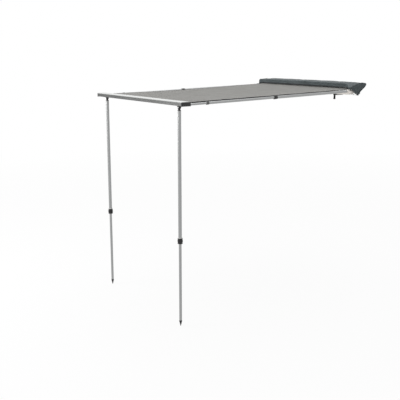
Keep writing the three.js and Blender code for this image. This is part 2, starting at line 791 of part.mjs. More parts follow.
function legKnuckle() {
  const half = legTongueThick / 2;
  const waist = legEarRound + overrun;
  const eye = bar(legEarRound - runGap, [-half, 0, 0], [half, 0, 0]);
  const neck = box([-half, -legEarRound + runGap, -waist - overrun], [half, legEarRound - runGap, 0]);
  const cone = bar(legUpperTube / 2, [0, 0, -legTubeTop], [0, 0, -waist], roundSides, legEarRound);
  const plugRadius = legUpperTube / 2 - tubeWall - seatGap;
  const plug = bar(plugRadius, [0, 0, -legTubeTop - legPlugLength], [0, 0, -legTubeTop + seatGap]);
  const hole = bar(legPin / 2 + runGap, [-half - overrun, 0, 0], [half + overrun, 0, 0], smallSides);
  return combine([eye, neck, cone, plug], [hole]);
}

function legExpander(tubeTop) {
  const wide = legUpperTube / 2 - tubeWall - runGap;
  const narrow = legLowerTube / 2 - tubeWall - seatGap;
  const cam = bar(wide, [0, 0, tubeTop + seatGap], [0, 0, tubeTop + legExpanderLength]);
  const spigot = bar(narrow, [0, 0, tubeTop - legExpanderLength], [0, 0, tubeTop + seatGap * 2]);
  return combine([cam, spigot]);
}

function legFoot() {
  const radius = (legLowerTube + tubeWall) / 2;
  const shoulder = legGround + legFootLength;
  const collarLow = shoulder - legFootCollar;
  const plugRadius = legLowerTube / 2 - tubeWall - seatGap;
  const spike = bar(legFootTip / 2, [0, 0, legGround], [0, 0, collarLow], roundSides, radius);
  const collar = bar(radius, [0, 0, collarLow], [0, 0, shoulder]);
  const plug = bar(plugRadius, [0, 0, shoulder - seatGap], [0, 0, shoulder + legFootPlug]);
  return combine([spike, collar, plug]);
}

for (const [name, side] of sides) {
  const leg = new THREE.Group();
  leg.position.set((channelBack + channelFront) / 2 + side * legOffset, side * legY, legPivotHeight);
  awning.add(leg);
  const lowerTop = legLockMiddle + legOverlap;
  const lowerEnd = legGround + legFootLength + seatGap;
  piece(`leg_bracket_${name}`, legBracket(), finishes.blackSteel, leg);
  piece(`leg_pin_${name}`, legPinBar(), finishes.zincSteel, leg);
  piece(`leg_knuckle_${name}`, legKnuckle(), finishes.blackPlastic, leg);
  const upperTube = tube(legUpperTube, tubeWall, legLockMiddle, -legTubeTop - seatGap, legAxis);
  piece(`leg_upper_tube_${name}`, upperTube, finishes.tube, leg);
  piece(`leg_lock_${name}`, twistLock(legLockRadius, legLockLength, legUpperTube, legLowerTube,
    legLockMiddle + legLockLength / 2, -1, legAxis), finishes.blackPlastic, leg);
  const lowerTube = tube(legLowerTube, tubeWall, lowerEnd, lowerTop, legAxis);
  piece(`leg_lower_tube_${name}`, lowerTube, finishes.tube, leg);
  piece(`leg_expander_${name}`, legExpander(lowerTop), finishes.blackPlastic, leg);
  piece(`leg_foot_${name}`, legFoot(), finishes.blackPlastic, leg);
}

export default awning;
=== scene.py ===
"""Vehicle side awning: fine pieces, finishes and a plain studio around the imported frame."""
import math

import bmesh
import bpy
from bpy.props import FloatProperty, FloatVectorProperty, IntProperty, PointerProperty
from mathutils import Matrix, Vector, noise


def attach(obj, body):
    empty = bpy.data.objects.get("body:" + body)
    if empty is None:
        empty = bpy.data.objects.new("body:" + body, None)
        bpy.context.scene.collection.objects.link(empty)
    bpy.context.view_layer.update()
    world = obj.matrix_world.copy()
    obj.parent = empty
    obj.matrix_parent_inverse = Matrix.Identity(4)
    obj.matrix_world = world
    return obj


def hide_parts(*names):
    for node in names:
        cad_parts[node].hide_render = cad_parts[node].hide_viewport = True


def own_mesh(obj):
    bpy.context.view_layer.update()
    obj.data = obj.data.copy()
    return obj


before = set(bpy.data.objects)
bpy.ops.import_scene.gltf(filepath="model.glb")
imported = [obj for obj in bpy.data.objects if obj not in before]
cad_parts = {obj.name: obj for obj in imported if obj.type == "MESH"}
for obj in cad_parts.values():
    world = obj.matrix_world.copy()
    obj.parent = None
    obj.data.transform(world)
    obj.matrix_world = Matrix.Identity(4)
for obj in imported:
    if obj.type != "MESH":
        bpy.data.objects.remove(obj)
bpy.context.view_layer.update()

bl_info = {
    "name": "Vehicle Side Awning",
    "version": (1, 0, 0),
    "blender": (4, 5, 0),
    "location": "View3D > Sidebar > Awning",
    "description": "Dresses a pull-out side awning and sets it in a plain studio",
    "category": "Add Mesh",
}

# Sizes in metres, in the frame's own axes: X outward, Y to the vehicle's front, Z up.
# A pair keyed 1 and -1 holds the front side's value and the rear side's.
SIDES = (("front", 1), ("rear", -1))
HALF_LENGTH = 0.700
PLATE_HALF = 0.694
PLATE_TOP = 0.050
PLATE_WALL = 0.003
SLOT_Z = 0.025
SLOT_WALL = 0.0025
SLOT_DEPTH = 0.009
SLOT_MOUTH = 0.00425
SLOT_ROOM = 0.00725
HOUSING_FRONT = 0.0115
HOUSING_HALF = 0.00975
CHANNEL_ROOT = 0.002
RAIL_REAR = 1.940
REACH = 2.030
RAIL_TOP = -0.024
RAIL_BOTTOM = -0.055
RAIL_ROOF = -0.0262
RAIL_WALL = 0.0022
RAIL_STEP = 0.002
RAIL_NOSE = 0.010
RAIL_SHOULDER = 0.009
RAIL_LIP = 0.009
RAIL_EDGE = 0.0012
NOTCH_START = 0.655
NOTCH_TOP = -0.0347
NOTCH_SPARE = 0.01
CAP_SCREWS_X = (1.975, 2.012)
CAP_SCREWS_Z = -0.040
KEDER_BORE = 0.0036
KEDER_OUTER = 0.0056
KEDER_MOUTH = 0.0016
KEDER_OUT = 0.009
MOUTH_ANGLE = math.degrees(math.asin(KEDER_MOUTH / KEDER_BORE))
CANOPY_KEDER_Z = 0.008
COVER_KEDER_Z = 0.0444
RAIL_KEDER_X = 1.9456
RAIL_KEDER_Z = -0.032
ROPE_RADIUS = 0.0033
CANOPY_START = 0.0126
CANOPY_END = 1.9420
CANOPY_HALF = 0.655
EDGE_SAG_SHARES = {1: 0.0, -1: 0.4}
ARM_Y = 0.676
ARM_OUT = {1: 0.034, -1: 0.070}
ARM_ROOT_Z = -0.008
ARM_SLOPE = math.atan2(0.038, 1.906)
ARM_FOLD_TILT = math.asin(0.046 / 1.352)
ARM_TUBES = ((0.0125, 0.0113), (0.01075, 0.00955), (0.009, 0.0078))
ARM_TUBE_START = 0.0623
ARM_OUTER_END = 1.000
ARM_OVERLAPS = (0.138, 0.130)
ARM_TIP_OVERLAP = 0.012
ARM_LOCK_LENGTHS = {"outer": 0.036, "inner": 0.024}
ARM_LOCK_WALL = 0.0035
ARM_INNER_LOCK_OUT = 1.761
LEG_Y = 0.630
LEG_X = {1: 2.003, -1: 1.965}
GROUND = -1.905
LEG_LOCK_Z = -1.160
LEG_LOCK_LENGTH = 0.046
LEG_LOCK_RADIUS = 0.022
LEG_TUBES = ((0.0145, 0.0133), (0.0115, 0.0103))
LEG_TUBE_TOP = -0.0943
LEG_LOWER_TOP = -0.840
LEG_FERRULE = (0.0172, 0.0147)
LEG_FERRULE_LENGTH = 0.006
LEG_FOOT_TOP = GROUND + 0.050
FOOT_COLLAR = 0.012
FOOT_PLUG = 0.020
STRAP_Y = 0.398
CANOPY_THICK = 0.0007
PANEL_THICK = 0.0012
STRAP_THICK = 0.0013
TAPE_SEAMS = (0.006, 0.0095)
HEM_SEAMS_X = (0.034, 1.921)
# Rows and columns of each cloth grid
CANOPY_GRID = (190, 96)
PANEL_GRID = (70, 110)
STRAP_GRID = (48, 12)

# Painted shade: the rail's front face is coloured darker than its top, at this share of the top's
# colour, to stand in for the shade that falls on it
PAINTED_SHADE_TONE = 0.17
# Slot of each material
SLOTS = {
    "rail aluminium": "extruded_aluminium",
    "arm aluminium": "tube_aluminium",
    "leg aluminium": "tube_aluminium",
    "cast aluminium": "cast_aluminium",
    "black plastic": "black_plastic",
    "grey plastic": "grey_plastic",
    "pale nylon": "black_plastic",
    "black powder coat": "black_steel",
    "bright zinc": "zinc_steel",
    "rope sleeve": "rope_edge",
    "canopy cloth": "canopy_cloth",
    "cover cloth": "cover_cloth",
    "edge tape": "webbing",
    "thread": "webbing",
}

# Points closer than this are one; edges bent more than these angles stay sharp
MERGE = 1e-6
SHARP_METAL = 34.0
SHARP_TAPE = 50.0
SHARP_CLOTH = 60.0

CAMERA_PLACE = (4.999, 5.063, 0.390)
CAMERA_AXES = ((-0.8111, 0.5850, 0.0), (-0.1286, -0.1783, 0.9755), (0.5706, 0.7912, 0.2198))
CAMERA_LENS = 60.84
CAMERA_SENSOR = 36.0
# The floor is pure white from the second distance on, and this share white within the first
FLOOR_FADE = (3.0, 9.0)
FLOOR_SHARE = 0.92
WHITE = (1.0, 1.0, 1.0, 1.0)


# Settings that a user would change
def colour(label, note, *values):
    return FloatVectorProperty(name=label, description=note, subtype="COLOR", size=3,
                               min=0.0, max=1.0, default=values)


def length(label, note, value, highest, lowest=0.0):
    return FloatProperty(name=label, description=note, default=value, min=lowest, max=highest,
                         unit="LENGTH")


def power(label, note, value):
    return FloatProperty(name=label, description=note, default=value, min=0.0, unit="POWER")


def count(label, note, value, lowest, highest):
    return IntProperty(name=label, description=note, default=value, min=lowest, max=highest)


class AwningClothSettings(bpy.types.PropertyGroup):
    """Colours, sag and stitching of the cloth pieces"""
    canopy_color: colour("Canopy Colour", "Coated canopy cloth", 0.245, 0.241, 0.227)
    cover_color: colour("Cover Colour", "Heavy cover cloth", 0.098, 0.118, 0.124)
    tape_color: colour("Tape Colour", "Edge tape, webbing and stitches", 0.011, 0.011, 0.012)
    sag: length("Sag", "Dip of the canopy's middle below its two edges", 0.026, 0.1)
    wrinkle: length("Wrinkle", "Height of the canopy's tension wrinkles", 0.0017, 0.006)
    crease: length("Crease", "Depth of the folded cover's creases", 0.0060, 0.01)
    stitch_pitch: length("Stitch Pitch", "From one stitch to the next", 0.0050, 0.02, 0.002)
    tooth_pitch: length("Tooth Pitch", "From one zip tooth to the next", 0.0032, 0.02, 0.002)


class AwningMetalSettings(bpy.types.PropertyGroup):
    """Finish of the extrusions, tubes and castings"""
    extrusion_color: colour("Extrusion Colour", "Clear anodised extrusions", 0.66, 0.67, 0.66)
    tube_color: colour("Tube Colour", "Clear anodised tubes", 0.350, 0.355, 0.355)
    cast_color: colour("Casting Colour", "Bead-blasted castings", 0.88, 0.84, 0.79)
    tube_sides: count("Tube Sides", "Faces round a tube", 72, 16, 160)


class AwningTrimSettings(bpy.types.PropertyGroup):
    """Moulded black parts and small fasteners"""
    plastic_color: colour("Plastic Colour", "Black moulded parts", 0.012, 0.012, 0.013)
    grip_ribs: count("Grip Ribs", "Ribs round each twist lock", 18, 6, 48)
    screw_radius: length("Screw Radius", "Head of an end cap's screw", 0.0034, 0.01, 0.001)


class AwningStageSettings(bpy.types.PropertyGroup):
    """Lights and floor"""
    key_power: power("Key Power", "Large soft light above", 85.0)
    side_power: power("Side Power", "Soft light beside the front rail", 190.0)
    sky_strength: FloatProperty(name="Sky Strength", description="Even light from all round",
                                default=0.55, min=0.0, max=3.0)
    floor_size: length("Floor Size", "Width of the floor", 120.0, 1000.0, 2.0)


# Small help for building nodes
def with_values(thing, **values):
    for key, value in values.items():
        setattr(thing, key, value)
    return thing


def add_node(tree, kind, inputs=None, **settings):
    node = with_values(tree.nodes.new(kind), **settings)
    for key, value in (inputs or {}).items():
        if isinstance(value, bpy.types.NodeSocket):
            tree.links.new(value, node.inputs[key])
        else:
            node.inputs[key].default_value = value
    return node


def chain(tree, value, *steps):
    """Runs a value through math nodes: a step is an operation and, if any, its other value."""
    for operation, *second in steps:
        value = add_node(tree, "ShaderNodeMath", {0: value, 1: second[0] if second else 0.0},
                         operation=operation).outputs[0]
    return value


def node_group(kind, name, inputs, outputs):
    """Makes a function fill a node group, once. Rows are a socket's name, type and default."""
    def wrap(fill):
        def group():
            if name in bpy.data.node_groups:
                return bpy.data.node_groups[name]
            tree = bpy.data.node_groups.new(name, kind)
            for way, rows in (("INPUT", inputs), ("OUTPUT", outputs)):
                for label, sort, *default in rows:
                    socket = tree.interface.new_socket(
                        label, in_out=way, socket_type="NodeSocket" + sort)
                    if default:
                        socket.default_value = default[0]
            fill(tree, tree.nodes.new("NodeGroupInput").outputs,
                 tree.nodes.new("NodeGroupOutput").inputs)
            return tree
        return group
    return wrap


def object_place(tree, stretch=None):
    """Object coordinates, drawn out by a stretch where one is given."""
    place = add_node(tree, "ShaderNodeTexCoord").outputs["Object"]
    if stretch is None:
        return place
    return add_node(tree, "ShaderNodeVectorMath", {0: place, 1: stretch},
                    operation="MULTIPLY").outputs[0]


def clouds(tree, place, scale, detail, roughness=0.5, distortion=0.0):
    return add_node(tree, "ShaderNodeTexNoise", {
        "Vector": place, "Scale": scale, "Detail": detail, "Roughness": roughness,
        "Distortion": distortion}).outputs["Fac"]


def toned(tree, color, gain, out):
    scaled = add_node(tree, "ShaderNodeVectorMath", {0: color, 3: gain}, operation="SCALE")
    tree.links.new(scaled.outputs[0], out["Color"])


def mix_color(tree, share, first, second):
    return add_node(tree, "ShaderNodeMix", {0: share, 6: first, 7: second},
                    data_type="RGBA").outputs[2]


@node_group("ShaderNodeTree", "Woven Cloth", [
    ("Thread Color", "Color", (0.3, 0.3, 0.3, 1.0)), ("Gap Color", "Color", (0.2, 0.2, 0.2, 1.0)),
    ("Threads per Metre", "Float", 900.0), ("Ripstop per Metre", "Float", 160.0),
    ("Variation", "Float", 0.12)], [("Color", "Color"), ("Height", "Float")])
def woven_group(tree, given, out):
    """Plain weave with a ripstop grid and uneven thread colour, on the cloth's own UV map."""
    flat = add_node(tree, "ShaderNodeUVMap", uv_map="weave").outputs[0]
    waves, grid = [], []
    for axis in add_node(tree, "ShaderNodeSeparateXYZ", {0: flat}).outputs[:2]:
        waves.append(chain(tree, axis, ("MULTIPLY", given["Threads per Metre"]),
                           ("MULTIPLY", math.pi), ("SINE",), ("ABSOLUTE",)))
        grid.append(chain(tree, axis, ("MULTIPLY", given["Ripstop per Metre"]),
                          ("PINGPONG", 0.5), ("LESS_THAN", 0.06)))
    over = add_node(tree, "ShaderNodeTexChecker", {
        "Vector": flat, "Scale": given["Threads per Metre"]}).outputs["Fac"]
    weave = add_node(tree, "ShaderNodeMix", {0: over, 2: waves[0], 3: waves[1]}).outputs[0]
    rip = chain(tree, grid[0], ("MAXIMUM", grid[1]))
    place = object_place(tree)
    streak = chain(tree, clouds(tree, place, 42.0, 3.0), ("MULTIPLY", 0.3))
    gain = chain(tree, clouds(tree, place, 5.5, 6.0, 0.62), ("MULTIPLY", 0.7), ("ADD", streak),
                 ("SUBTRACT", 0.5), ("MULTIPLY", given["Variation"]), ("ADD", 1.0))
    base = mix_color(tree, weave, given["Gap Color"], given["Thread Color"])
    lined = mix_color(tree, chain(tree, rip, ("MULTIPLY", 0.25)), base, given["Gap Color"])
    toned(tree, lined, gain, out)
    tree.links.new(chain(tree, weave, ("ADD", rip)), out["Height"])


@node_group("ShaderNodeTree", "Light Wear", [
    ("Scale", "Float", 12.0), ("Low", "Float", 0.3), ("High", "Float", 0.5),
    ("Color", "Color", (0.5, 0.5, 0.5, 1.0)), ("Tone", "Float", 0.1)],
    [("Roughness", "Float"), ("Color", "Color")])
def wear_group(tree, given, out):
    """Slow stains and fine specks, for uneven gloss and slightly uneven colour."""
    place = object_place(tree)
    speck = clouds(tree, place, chain(tree, given["Scale"], ("MULTIPLY", 26.0)), 2.0)
    both = chain(tree, clouds(tree, place, given["Scale"], 5.0, 0.6), ("MULTIPLY", 0.65),
                 ("ADD", chain(tree, speck, ("MULTIPLY", 0.35))))
    spread = add_node(tree, "ShaderNodeMapRange", {
        0: both, 1: 0.32, 2: 0.68, 3: given["Low"], 4: given["High"]}).outputs[0]
    tree.links.new(spread, out["Roughness"])
    toned(tree, given["Color"], chain(tree, both, ("SUBTRACT", 0.5), ("MULTIPLY", given["Tone"]),
                                      ("ADD", 1.0)), out)


@node_group("ShaderNodeTree", "Drawn Grain", [
    ("Stretch", "Vector", (1.0, 1.0, 1.0)), ("Scale", "Float", 700.0)], [("Height", "Float")])
def grain_group(tree, given, out):
    """Fine lines drawn out along one axis, as an extrusion or a drawn tube has."""
    drawn = object_place(tree, given["Stretch"])
    tree.links.new(clouds(tree, drawn, given["Scale"], 3.0, 0.7), out["Height"])


@node_group("ShaderNodeTree", "Crumpled Cloth", [
    ("Stretch", "Vector", (1.0, 1.0, 1.0)), ("Scale", "Float", 12.0)], [("Height", "Float")])
def crumple_group(tree, given, out):
    """Sharp-edged folds and soft dents of handled cloth, drawn out along one axis."""
    drawn = object_place(tree, given["Stretch"])
    ridge = chain(tree, clouds(tree, drawn, given["Scale"], 3.0, 0.5, 0.9),
                  ("SUBTRACT", 0.5), ("ABSOLUTE",))
    dents = clouds(tree, drawn, chain(tree, given["Scale"], ("MULTIPLY", 0.35)), 2.0)
    tree.links.new(chain(tree, dents, ("MULTIPLY", 1.4), ("SUBTRACT", ridge)), out["Height"])


@node_group("ShaderNodeTree", "Pebbled Skin", [("Scale", "Float", 900.0)], [("Height", "Float")])
def skin_group(tree, given, out):
    """Pebbled skin of moulded, blasted or powder-coated parts."""
    place = object_place(tree)
    pebble = add_node(tree, "ShaderNodeTexVoronoi", {
        "Vector": place, "Scale": given["Scale"]}, feature="SMOOTH_F1").outputs["Distance"]
    cloud = clouds(tree, place, given["Scale"], 2.0)
    tree.links.new(chain(tree, pebble, ("ADD", cloud)), out["Height"])


# Materials
def start_material(name, **sockets):
    material = bpy.data.materials.new(name)
    material.use_nodes = True
    tree = material.node_tree
    shader = tree.nodes["Principled BSDF"]
    for key, value in sockets.items():
        shader.inputs[key.replace("_", " ")].default_value = value
    return material, tree, shader.inputs


def place_group(tree, group, **values):
    """A shared group with its own values: spaces in names as _, colours as red, green, blue."""
    given = {}
    for key, value in values.items():
        given[key.replace("_", " ")] = (*value, 1.0) if key.endswith("Color") else value
    return add_node(tree, "ShaderNodeGroup", given, node_tree=group()).outputs


def add_bump(tree, shader, height, strength, distance, **under):
    given = {"Strength": strength, "Distance": distance, "Height": height, **under}
    bump = add_node(tree, "ShaderNodeBump", given).outputs[0]
    tree.links.new(bump, shader["Normal"])
    return bump


def join(tree, group, shader, **pairs):
    """Links outputs of a group to inputs of a shader, each written as output=input."""
    for source, target in pairs.items():
        tree.links.new(group[source], shader[target])


def drawn_metal(name, color, stretch):
    material, tree, shader = start_material(name, Metallic=1.0)
    wear = place_group(tree, wear_group, Scale=9.0, Low=0.26, High=0.42, Color=color, Tone=0.10)
    join(tree, wear, shader, Roughness="Roughness", Color="Base Color")
    grain = place_group(tree, grain_group, Stretch=stretch)
    add_bump(tree, shader, grain["Height"], 0.25, 0.00005)
    return material


def pebbled(name, color, metallic, low, high, scale, strength):
    material, tree, shader = start_material(name, Metallic=metallic)
    wear = place_group(tree, wear_group, Scale=16.0, Low=low, High=high, Color=color, Tone=0.22)
    join(tree, wear, shader, Roughness="Roughness", Color="Base Color")
    skin = place_group(tree, skin_group, Scale=scale)
    add_bump(tree, shader, skin["Height"], strength, 0.0002)
    return material


def cloth(name, color, weave, gap_share, low, high, crumple, sheen=0.0, gloss=0.5):
    """Woven cloth: weave is threads and ripstop per metre and variation, crumple its folds."""
    material, tree, shader = start_material(name, Sheen_Weight=sheen, Specular_IOR_Level=gloss)
    threads, ripstop, variation = weave
    woven = place_group(tree, woven_group, Thread_Color=color,
                        Gap_Color=[part * gap_share for part in color], Threads_per_Metre=threads,
                        Ripstop_per_Metre=ripstop, Variation=variation)
    wear = place_group(tree, wear_group, Scale=8.0, Low=low, High=high)
    join(tree, woven, shader, Color="Base Color")
    join(tree, wear, shader, Roughness="Roughness")
    stretch, scale, depth = crumple
    folds = place_group(tree, crumple_group, Stretch=stretch, Scale=scale)
    under = add_bump(tree, shader, folds["Height"], 1.0, depth)
    add_bump(tree, shader, woven["Height"], 0.3, 0.0003, Normal=under)
    return material


def finish(name):
    """The material of that name, made the first time that it is asked for."""
    if name in bpy.data.materials:
        return bpy.data.materials[name]
    scene = bpy.context.scene
    fabric, metal, trim = scene.awning_cloth, scene.awning_metal, scene.awning_trim
    # Painted shade: a darker copy of the extrusion colour for the rail's front face
    face = [PAINTED_SHADE_TONE * part for part in metal.extrusion_color]
    even, along_x, along_y, along_z = (
        tuple(0.01 if n == axis else 1.0 for n in range(3)) for axis in (None, 0, 1, 2))
    maker, *values = {
        "rail aluminium": (drawn_metal, metal.extrusion_color, along_y),
        "rail face aluminium": (drawn_metal, face, along_y),
        "arm aluminium": (drawn_metal, metal.tube_color, along_x),
        "leg aluminium": (drawn_metal, metal.tube_color, along_z),
        "cast aluminium": (pebbled, metal.cast_color, 0.35, 0.42, 0.6, 700.0, 0.35),
        "black plastic": (pebbled, trim.plastic_color, 0.0, 0.38, 0.58, 1100.0, 0.3),
        "grey plastic": (pebbled, (0.15, 0.15, 0.148), 0.0, 0.38, 0.55, 1100.0, 0.3),
        "black powder coat": (pebbled, (0.016, 0.017, 0.018), 0.0, 0.3, 0.48, 1500.0, 0.3),
        "bright zinc": (pebbled, (0.58, 0.59, 0.60), 1.0, 0.22, 0.4, 400.0, 0.1),
        "pale nylon": (pebbled, (0.70, 0.70, 0.68), 0.0, 0.35, 0.5, 900.0, 0.2),
        "rope sleeve": (pebbled, (0.62, 0.61, 0.58), 0.0, 0.6, 0.8, 2200.0, 0.6),
        "thread": (pebbled, fabric.tape_color, 0.0, 0.6, 0.8, 3000.0, 0.4),
        "canopy cloth": (cloth, fabric.canopy_color, (900.0, 160.0, 0.22), 0.82, 0.55, 0.72,
                         ((0.30, 1.0, 1.0), 9.0, 0.009), 0.04, 0.28),
        "cover cloth": (cloth, fabric.cover_color, (1100.0, 0.0, 0.70), 0.7, 0.42, 0.62,
                        ((1.0, 0.35, 1.0), 30.0, 0.020), 0.0, 0.22),
        "edge tape": (cloth, fabric.tape_color, (1400.0, 0.0, 0.3), 0.5, 0.6, 0.8,
                      (even, 40.0, 0.001)),
    }[name]
    return maker(name, *values)


# Mesh building
def shade(mesh, angle=SHARP_METAL):
    mesh.shade_smooth()
    mesh.set_sharp_from_angle(angle=math.radians(angle))


def clean_mesh(name, bm):
    bmesh.ops.recalc_face_normals(bm, faces=bm.faces)
    bm.verts.ensure_lookup_table()
    bm.verts.index_update()
    mesh = plain_mesh(name, [v.co[:] for v in bm.verts],
                      [[v.index for v in f.verts] for f in bm.faces])
    bm.free()
    return mesh


def plain_mesh(name, verts, faces=(), edges=()):
    mesh = bpy.data.meshes.new(name)
    mesh.from_pydata([tuple(v) for v in verts], edges, faces)
    return mesh


def new_object(name, data):
    made = bpy.data.objects.new(name, data)
    bpy.context.scene.collection.objects.link(made)
    return made


def link_piece(name, mesh, material):
    mesh.materials.clear()
    mesh.materials.append(finish(material))
    return new_object(name, mesh)


def make_piece(name, verts, faces, material, angle=SHARP_METAL):
    bm = bmesh.new()
    made = [bm.verts.new(v) for v in verts]
    for face in faces:
        bm.faces.new([made[n] for n in face])
    bmesh.ops.remove_doubles(bm, verts=bm.verts, dist=MERGE)
    bmesh.ops.dissolve_degenerate(bm, edges=bm.edges, dist=MERGE)
    mesh = clean_mesh(name, bm)
    shade(mesh, angle)
    return link_piece(name, mesh, material)


def settle(piece, body, *nodes):
    """Sets a piece on its body and hides the nodes that it replaces; the slot of its material is
    looked up but not kept.
    """
    slot = SLOTS[next(filter(None, piece.data.materials)).name]
    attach(piece, body)
    if nodes:
        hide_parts(*nodes)
    return piece


def bake_modifiers(piece, angle=SHARP_METAL):
    """Turns a piece with live modifiers into one plain mesh."""
    bpy.context.view_layer.update()
    shape = piece.evaluated_get(bpy.context.evaluated_depsgraph_get())
    mesh = bpy.data.meshes.new_from_object(shape)
    mesh.name = piece.name
    piece.modifiers.clear()
    piece.data = mesh
    shade(mesh, angle)
    return piece


def add_modifier(piece, label, kind, **settings):
    return with_values(piece.modifiers.new(label, kind), **settings)


def rounded_outline(corners, steps):
    """Corners are (x, z, radius): each radius becomes a short smooth bend."""
    points = []
    for n, (x, z, radius) in enumerate(corners):
        corner = Vector((x, z))
        if radius <= 0.0:
            points.append(corner)
            continue
        before = Vector(corners[n - 1][:2]) - corner
        after = Vector(corners[(n + 1) % len(corners)][:2]) - corner
        start = corner + before.normalized() * radius
        end = corner + after.normalized() * radius
        for step in range(steps + 1):
            t = step / steps
            points.append(start * (1 - t) ** 2 + corner * (2 * t * (1 - t)) + end * t ** 2)
    return [(p.x, p.y) for p in points]


def arc(centre, radius, start, stop, steps):
    angles = [math.radians(start + (stop - start) * n / steps) for n in range(steps + 1)]
    return [(centre[0] + radius * math.cos(a), centre[1] + radius * math.sin(a)) for a in angles]


def band_faces(rings, around, closed=False):
    """Faces that join each ring of points to the next, and the last to the first if closed."""
    faces = []
    for ring in range(rings if closed else rings - 1):
        low, high = ring * around, (ring + 1) % rings * around
        for n in range(around):
            after = (n + 1) % around
            faces.append([low + n, low + after, high + after, high + n])
    return faces


def end_faces(rings, around):
    last = (rings - 1) * around
    return [list(range(around)), list(range(last + around - 1, last - 1, -1))]


def extruded(name, outline, half, material):
    """An outline of (x, z) points drawn out along Y, to half each way."""
    verts = [(x, y, z) for y in (-half, half) for x, z in outline]
    faces = end_faces(2, len(outline)) + band_faces(2, len(outline))
    return make_piece(name, verts, faces, material)


def revolved(name, profile, matrix, material, closed=True, sides=None):
    """Profile points are (distance along the local X axis, radius)."""
    sides = sides or bpy.context.scene.awning_metal.tube_sides
    verts = []
    for along, radius in profile:
        for n in range(sides):
            angle = 2 * math.pi * n / sides
            verts.append(Vector((along, radius * math.cos(angle), radius * math.sin(angle))))
    piece = make_piece(name, verts, band_faces(len(profile), sides, closed), material)
    piece.data.transform(matrix)
    return piece


def tube_profile(low, high, outer, inner):
    chamfer = 0.0005
    return [(low, inner + chamfer), (low, outer - chamfer), (low + chamfer, outer),
            (high - chamfer, outer), (high, outer - chamfer), (high, inner + chamfer),
            (high - chamfer, inner), (low + chamfer, inner)]


def refined(node, name, material, body, width):
    """A finer stand-in for a CAD solid: merged, its machined edges rounded, smoothly shaded."""
    bm = bmesh.new()
    bm.from_mesh(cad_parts[node].data)
    bmesh.ops.remove_doubles(bm, verts=bm.verts, dist=2 * MERGE)
    bmesh.ops.dissolve_limit(bm, angle_limit=math.radians(1.5), verts=bm.verts, edges=bm.edges)
    piece = link_piece(name, clean_mesh(name, bm), material)
    add_modifier(piece, "Edge Round", "BEVEL", width=width, segments=2, limit_method="ANGLE",
                 angle_limit=math.radians(40.0))
    return settle(bake_modifiers(piece), body, node)


def carve(piece, corners):
    """Cuts boxes, each (low corner, high corner), out of a piece."""
    for low, high in corners:
        low, high = Vector(low), Vector(high)
        place = Matrix.Translation((low + high) / 2) @ Matrix.Diagonal((*(high - low), 1.0))
        bm = bmesh.new()
        bmesh.ops.create_cube(bm, size=1.0, matrix=place)
        mesh = clean_mesh("cutter", bm)
        cutter = new_object("cutter", mesh)
        add_modifier(piece, "Notch", "BOOLEAN", operation="DIFFERENCE", solver="EXACT",
                     object=cutter)
        bake_modifiers(piece)
        bpy.data.objects.remove(cutter)
        bpy.data.meshes.remove(mesh)


# Geometry Nodes
def close_tree(tree, geometry, material, out):
    real = add_node(tree, "GeometryNodeRealizeInstances", {"Geometry": geometry}).outputs[0]
    done = add_node(tree, "GeometryNodeSetMaterial", {"Geometry": real, "Material": material})
    tree.links.new(done.outputs[0], out["Geometry"])


def pills(tree, points, segments, rings, long, wide, **turn):
    """Round-ended pills laid on points, long in their own X."""
    pill = add_node(tree, "GeometryNodeMeshUVSphere", {
        "Segments": segments, "Rings": rings, "Radius": 0.5}).outputs[0]
    size = add_node(tree, "ShaderNodeCombineXYZ", {0: long, 1: wide, 2: wide}).outputs[0]
    return add_node(tree, "GeometryNodeInstanceOnPoints", {
        "Points": points, "Instance": pill, "Scale": size, **turn}).outputs[0]


@node_group("GeometryNodeTree", "Grip Ribs", [
    ("Geometry", "Geometry"), ("Ribs", "Int", 18), ("Ring Radius", "Float", 0.015),
    ("Rib Length", "Float", 0.02), ("Rib Width", "Float", 0.003), ("Middle", "Float", 0.0),
    ("Material", "Material")], [("Geometry", "Geometry")])
def rib_tree(tree, given, out):
    """Grip ribs set round a collar whose axis is X."""
    circle = add_node(tree, "GeometryNodeMeshCircle", {
        "Vertices": given["Ribs"], "Radius": given["Ring Radius"]}).outputs[0]
    place = add_node(tree, "ShaderNodeCombineXYZ", {0: given["Middle"]}).outputs[0]
    ring = add_node(tree, "GeometryNodeTransform", {
        "Geometry": circle, "Translation": place, "Rotation": (0.0, math.pi / 2, 0.0)}).outputs[0]
    ribs = pills(tree, ring, 10, 8, given["Rib Length"], given["Rib Width"])
    joined = add_node(tree, "GeometryNodeJoinGeometry", {0: ribs})
    tree.links.new(given["Geometry"], joined.inputs[0])
    close_tree(tree, joined.outputs[0], given["Material"], out)


@node_group("GeometryNodeTree", "Laid Stitches", [
    ("Geometry", "Geometry"), ("Pitch", "Float", 0.005), ("Length", "Float", 0.003),
    ("Width", "Float", 0.0007), ("Material", "Material")], [("Geometry", "Geometry")])
def stitch_tree(tree, given, out):
    """Stitches or zip teeth laid along guide edges."""
    curve = add_node(tree, "GeometryNodeMeshToCurve", {"Mesh": given["Geometry"]}).outputs[0]
    even = add_node(tree, "GeometryNodeResampleCurve", {
        "Curve": curve, "Length": given["Pitch"]}, mode="LENGTH").outputs[0]
    tangent = add_node(tree, "GeometryNodeInputTangent").outputs[0]
    turn = add_node(tree, "FunctionNodeAlignRotationToVector", {"Vector": tangent}, axis="X")
    laid = pills(tree, even, 6, 4, given["Length"], given["Width"], Rotation=turn.outputs[0])
    close_tree(tree, laid, given["Material"], out)


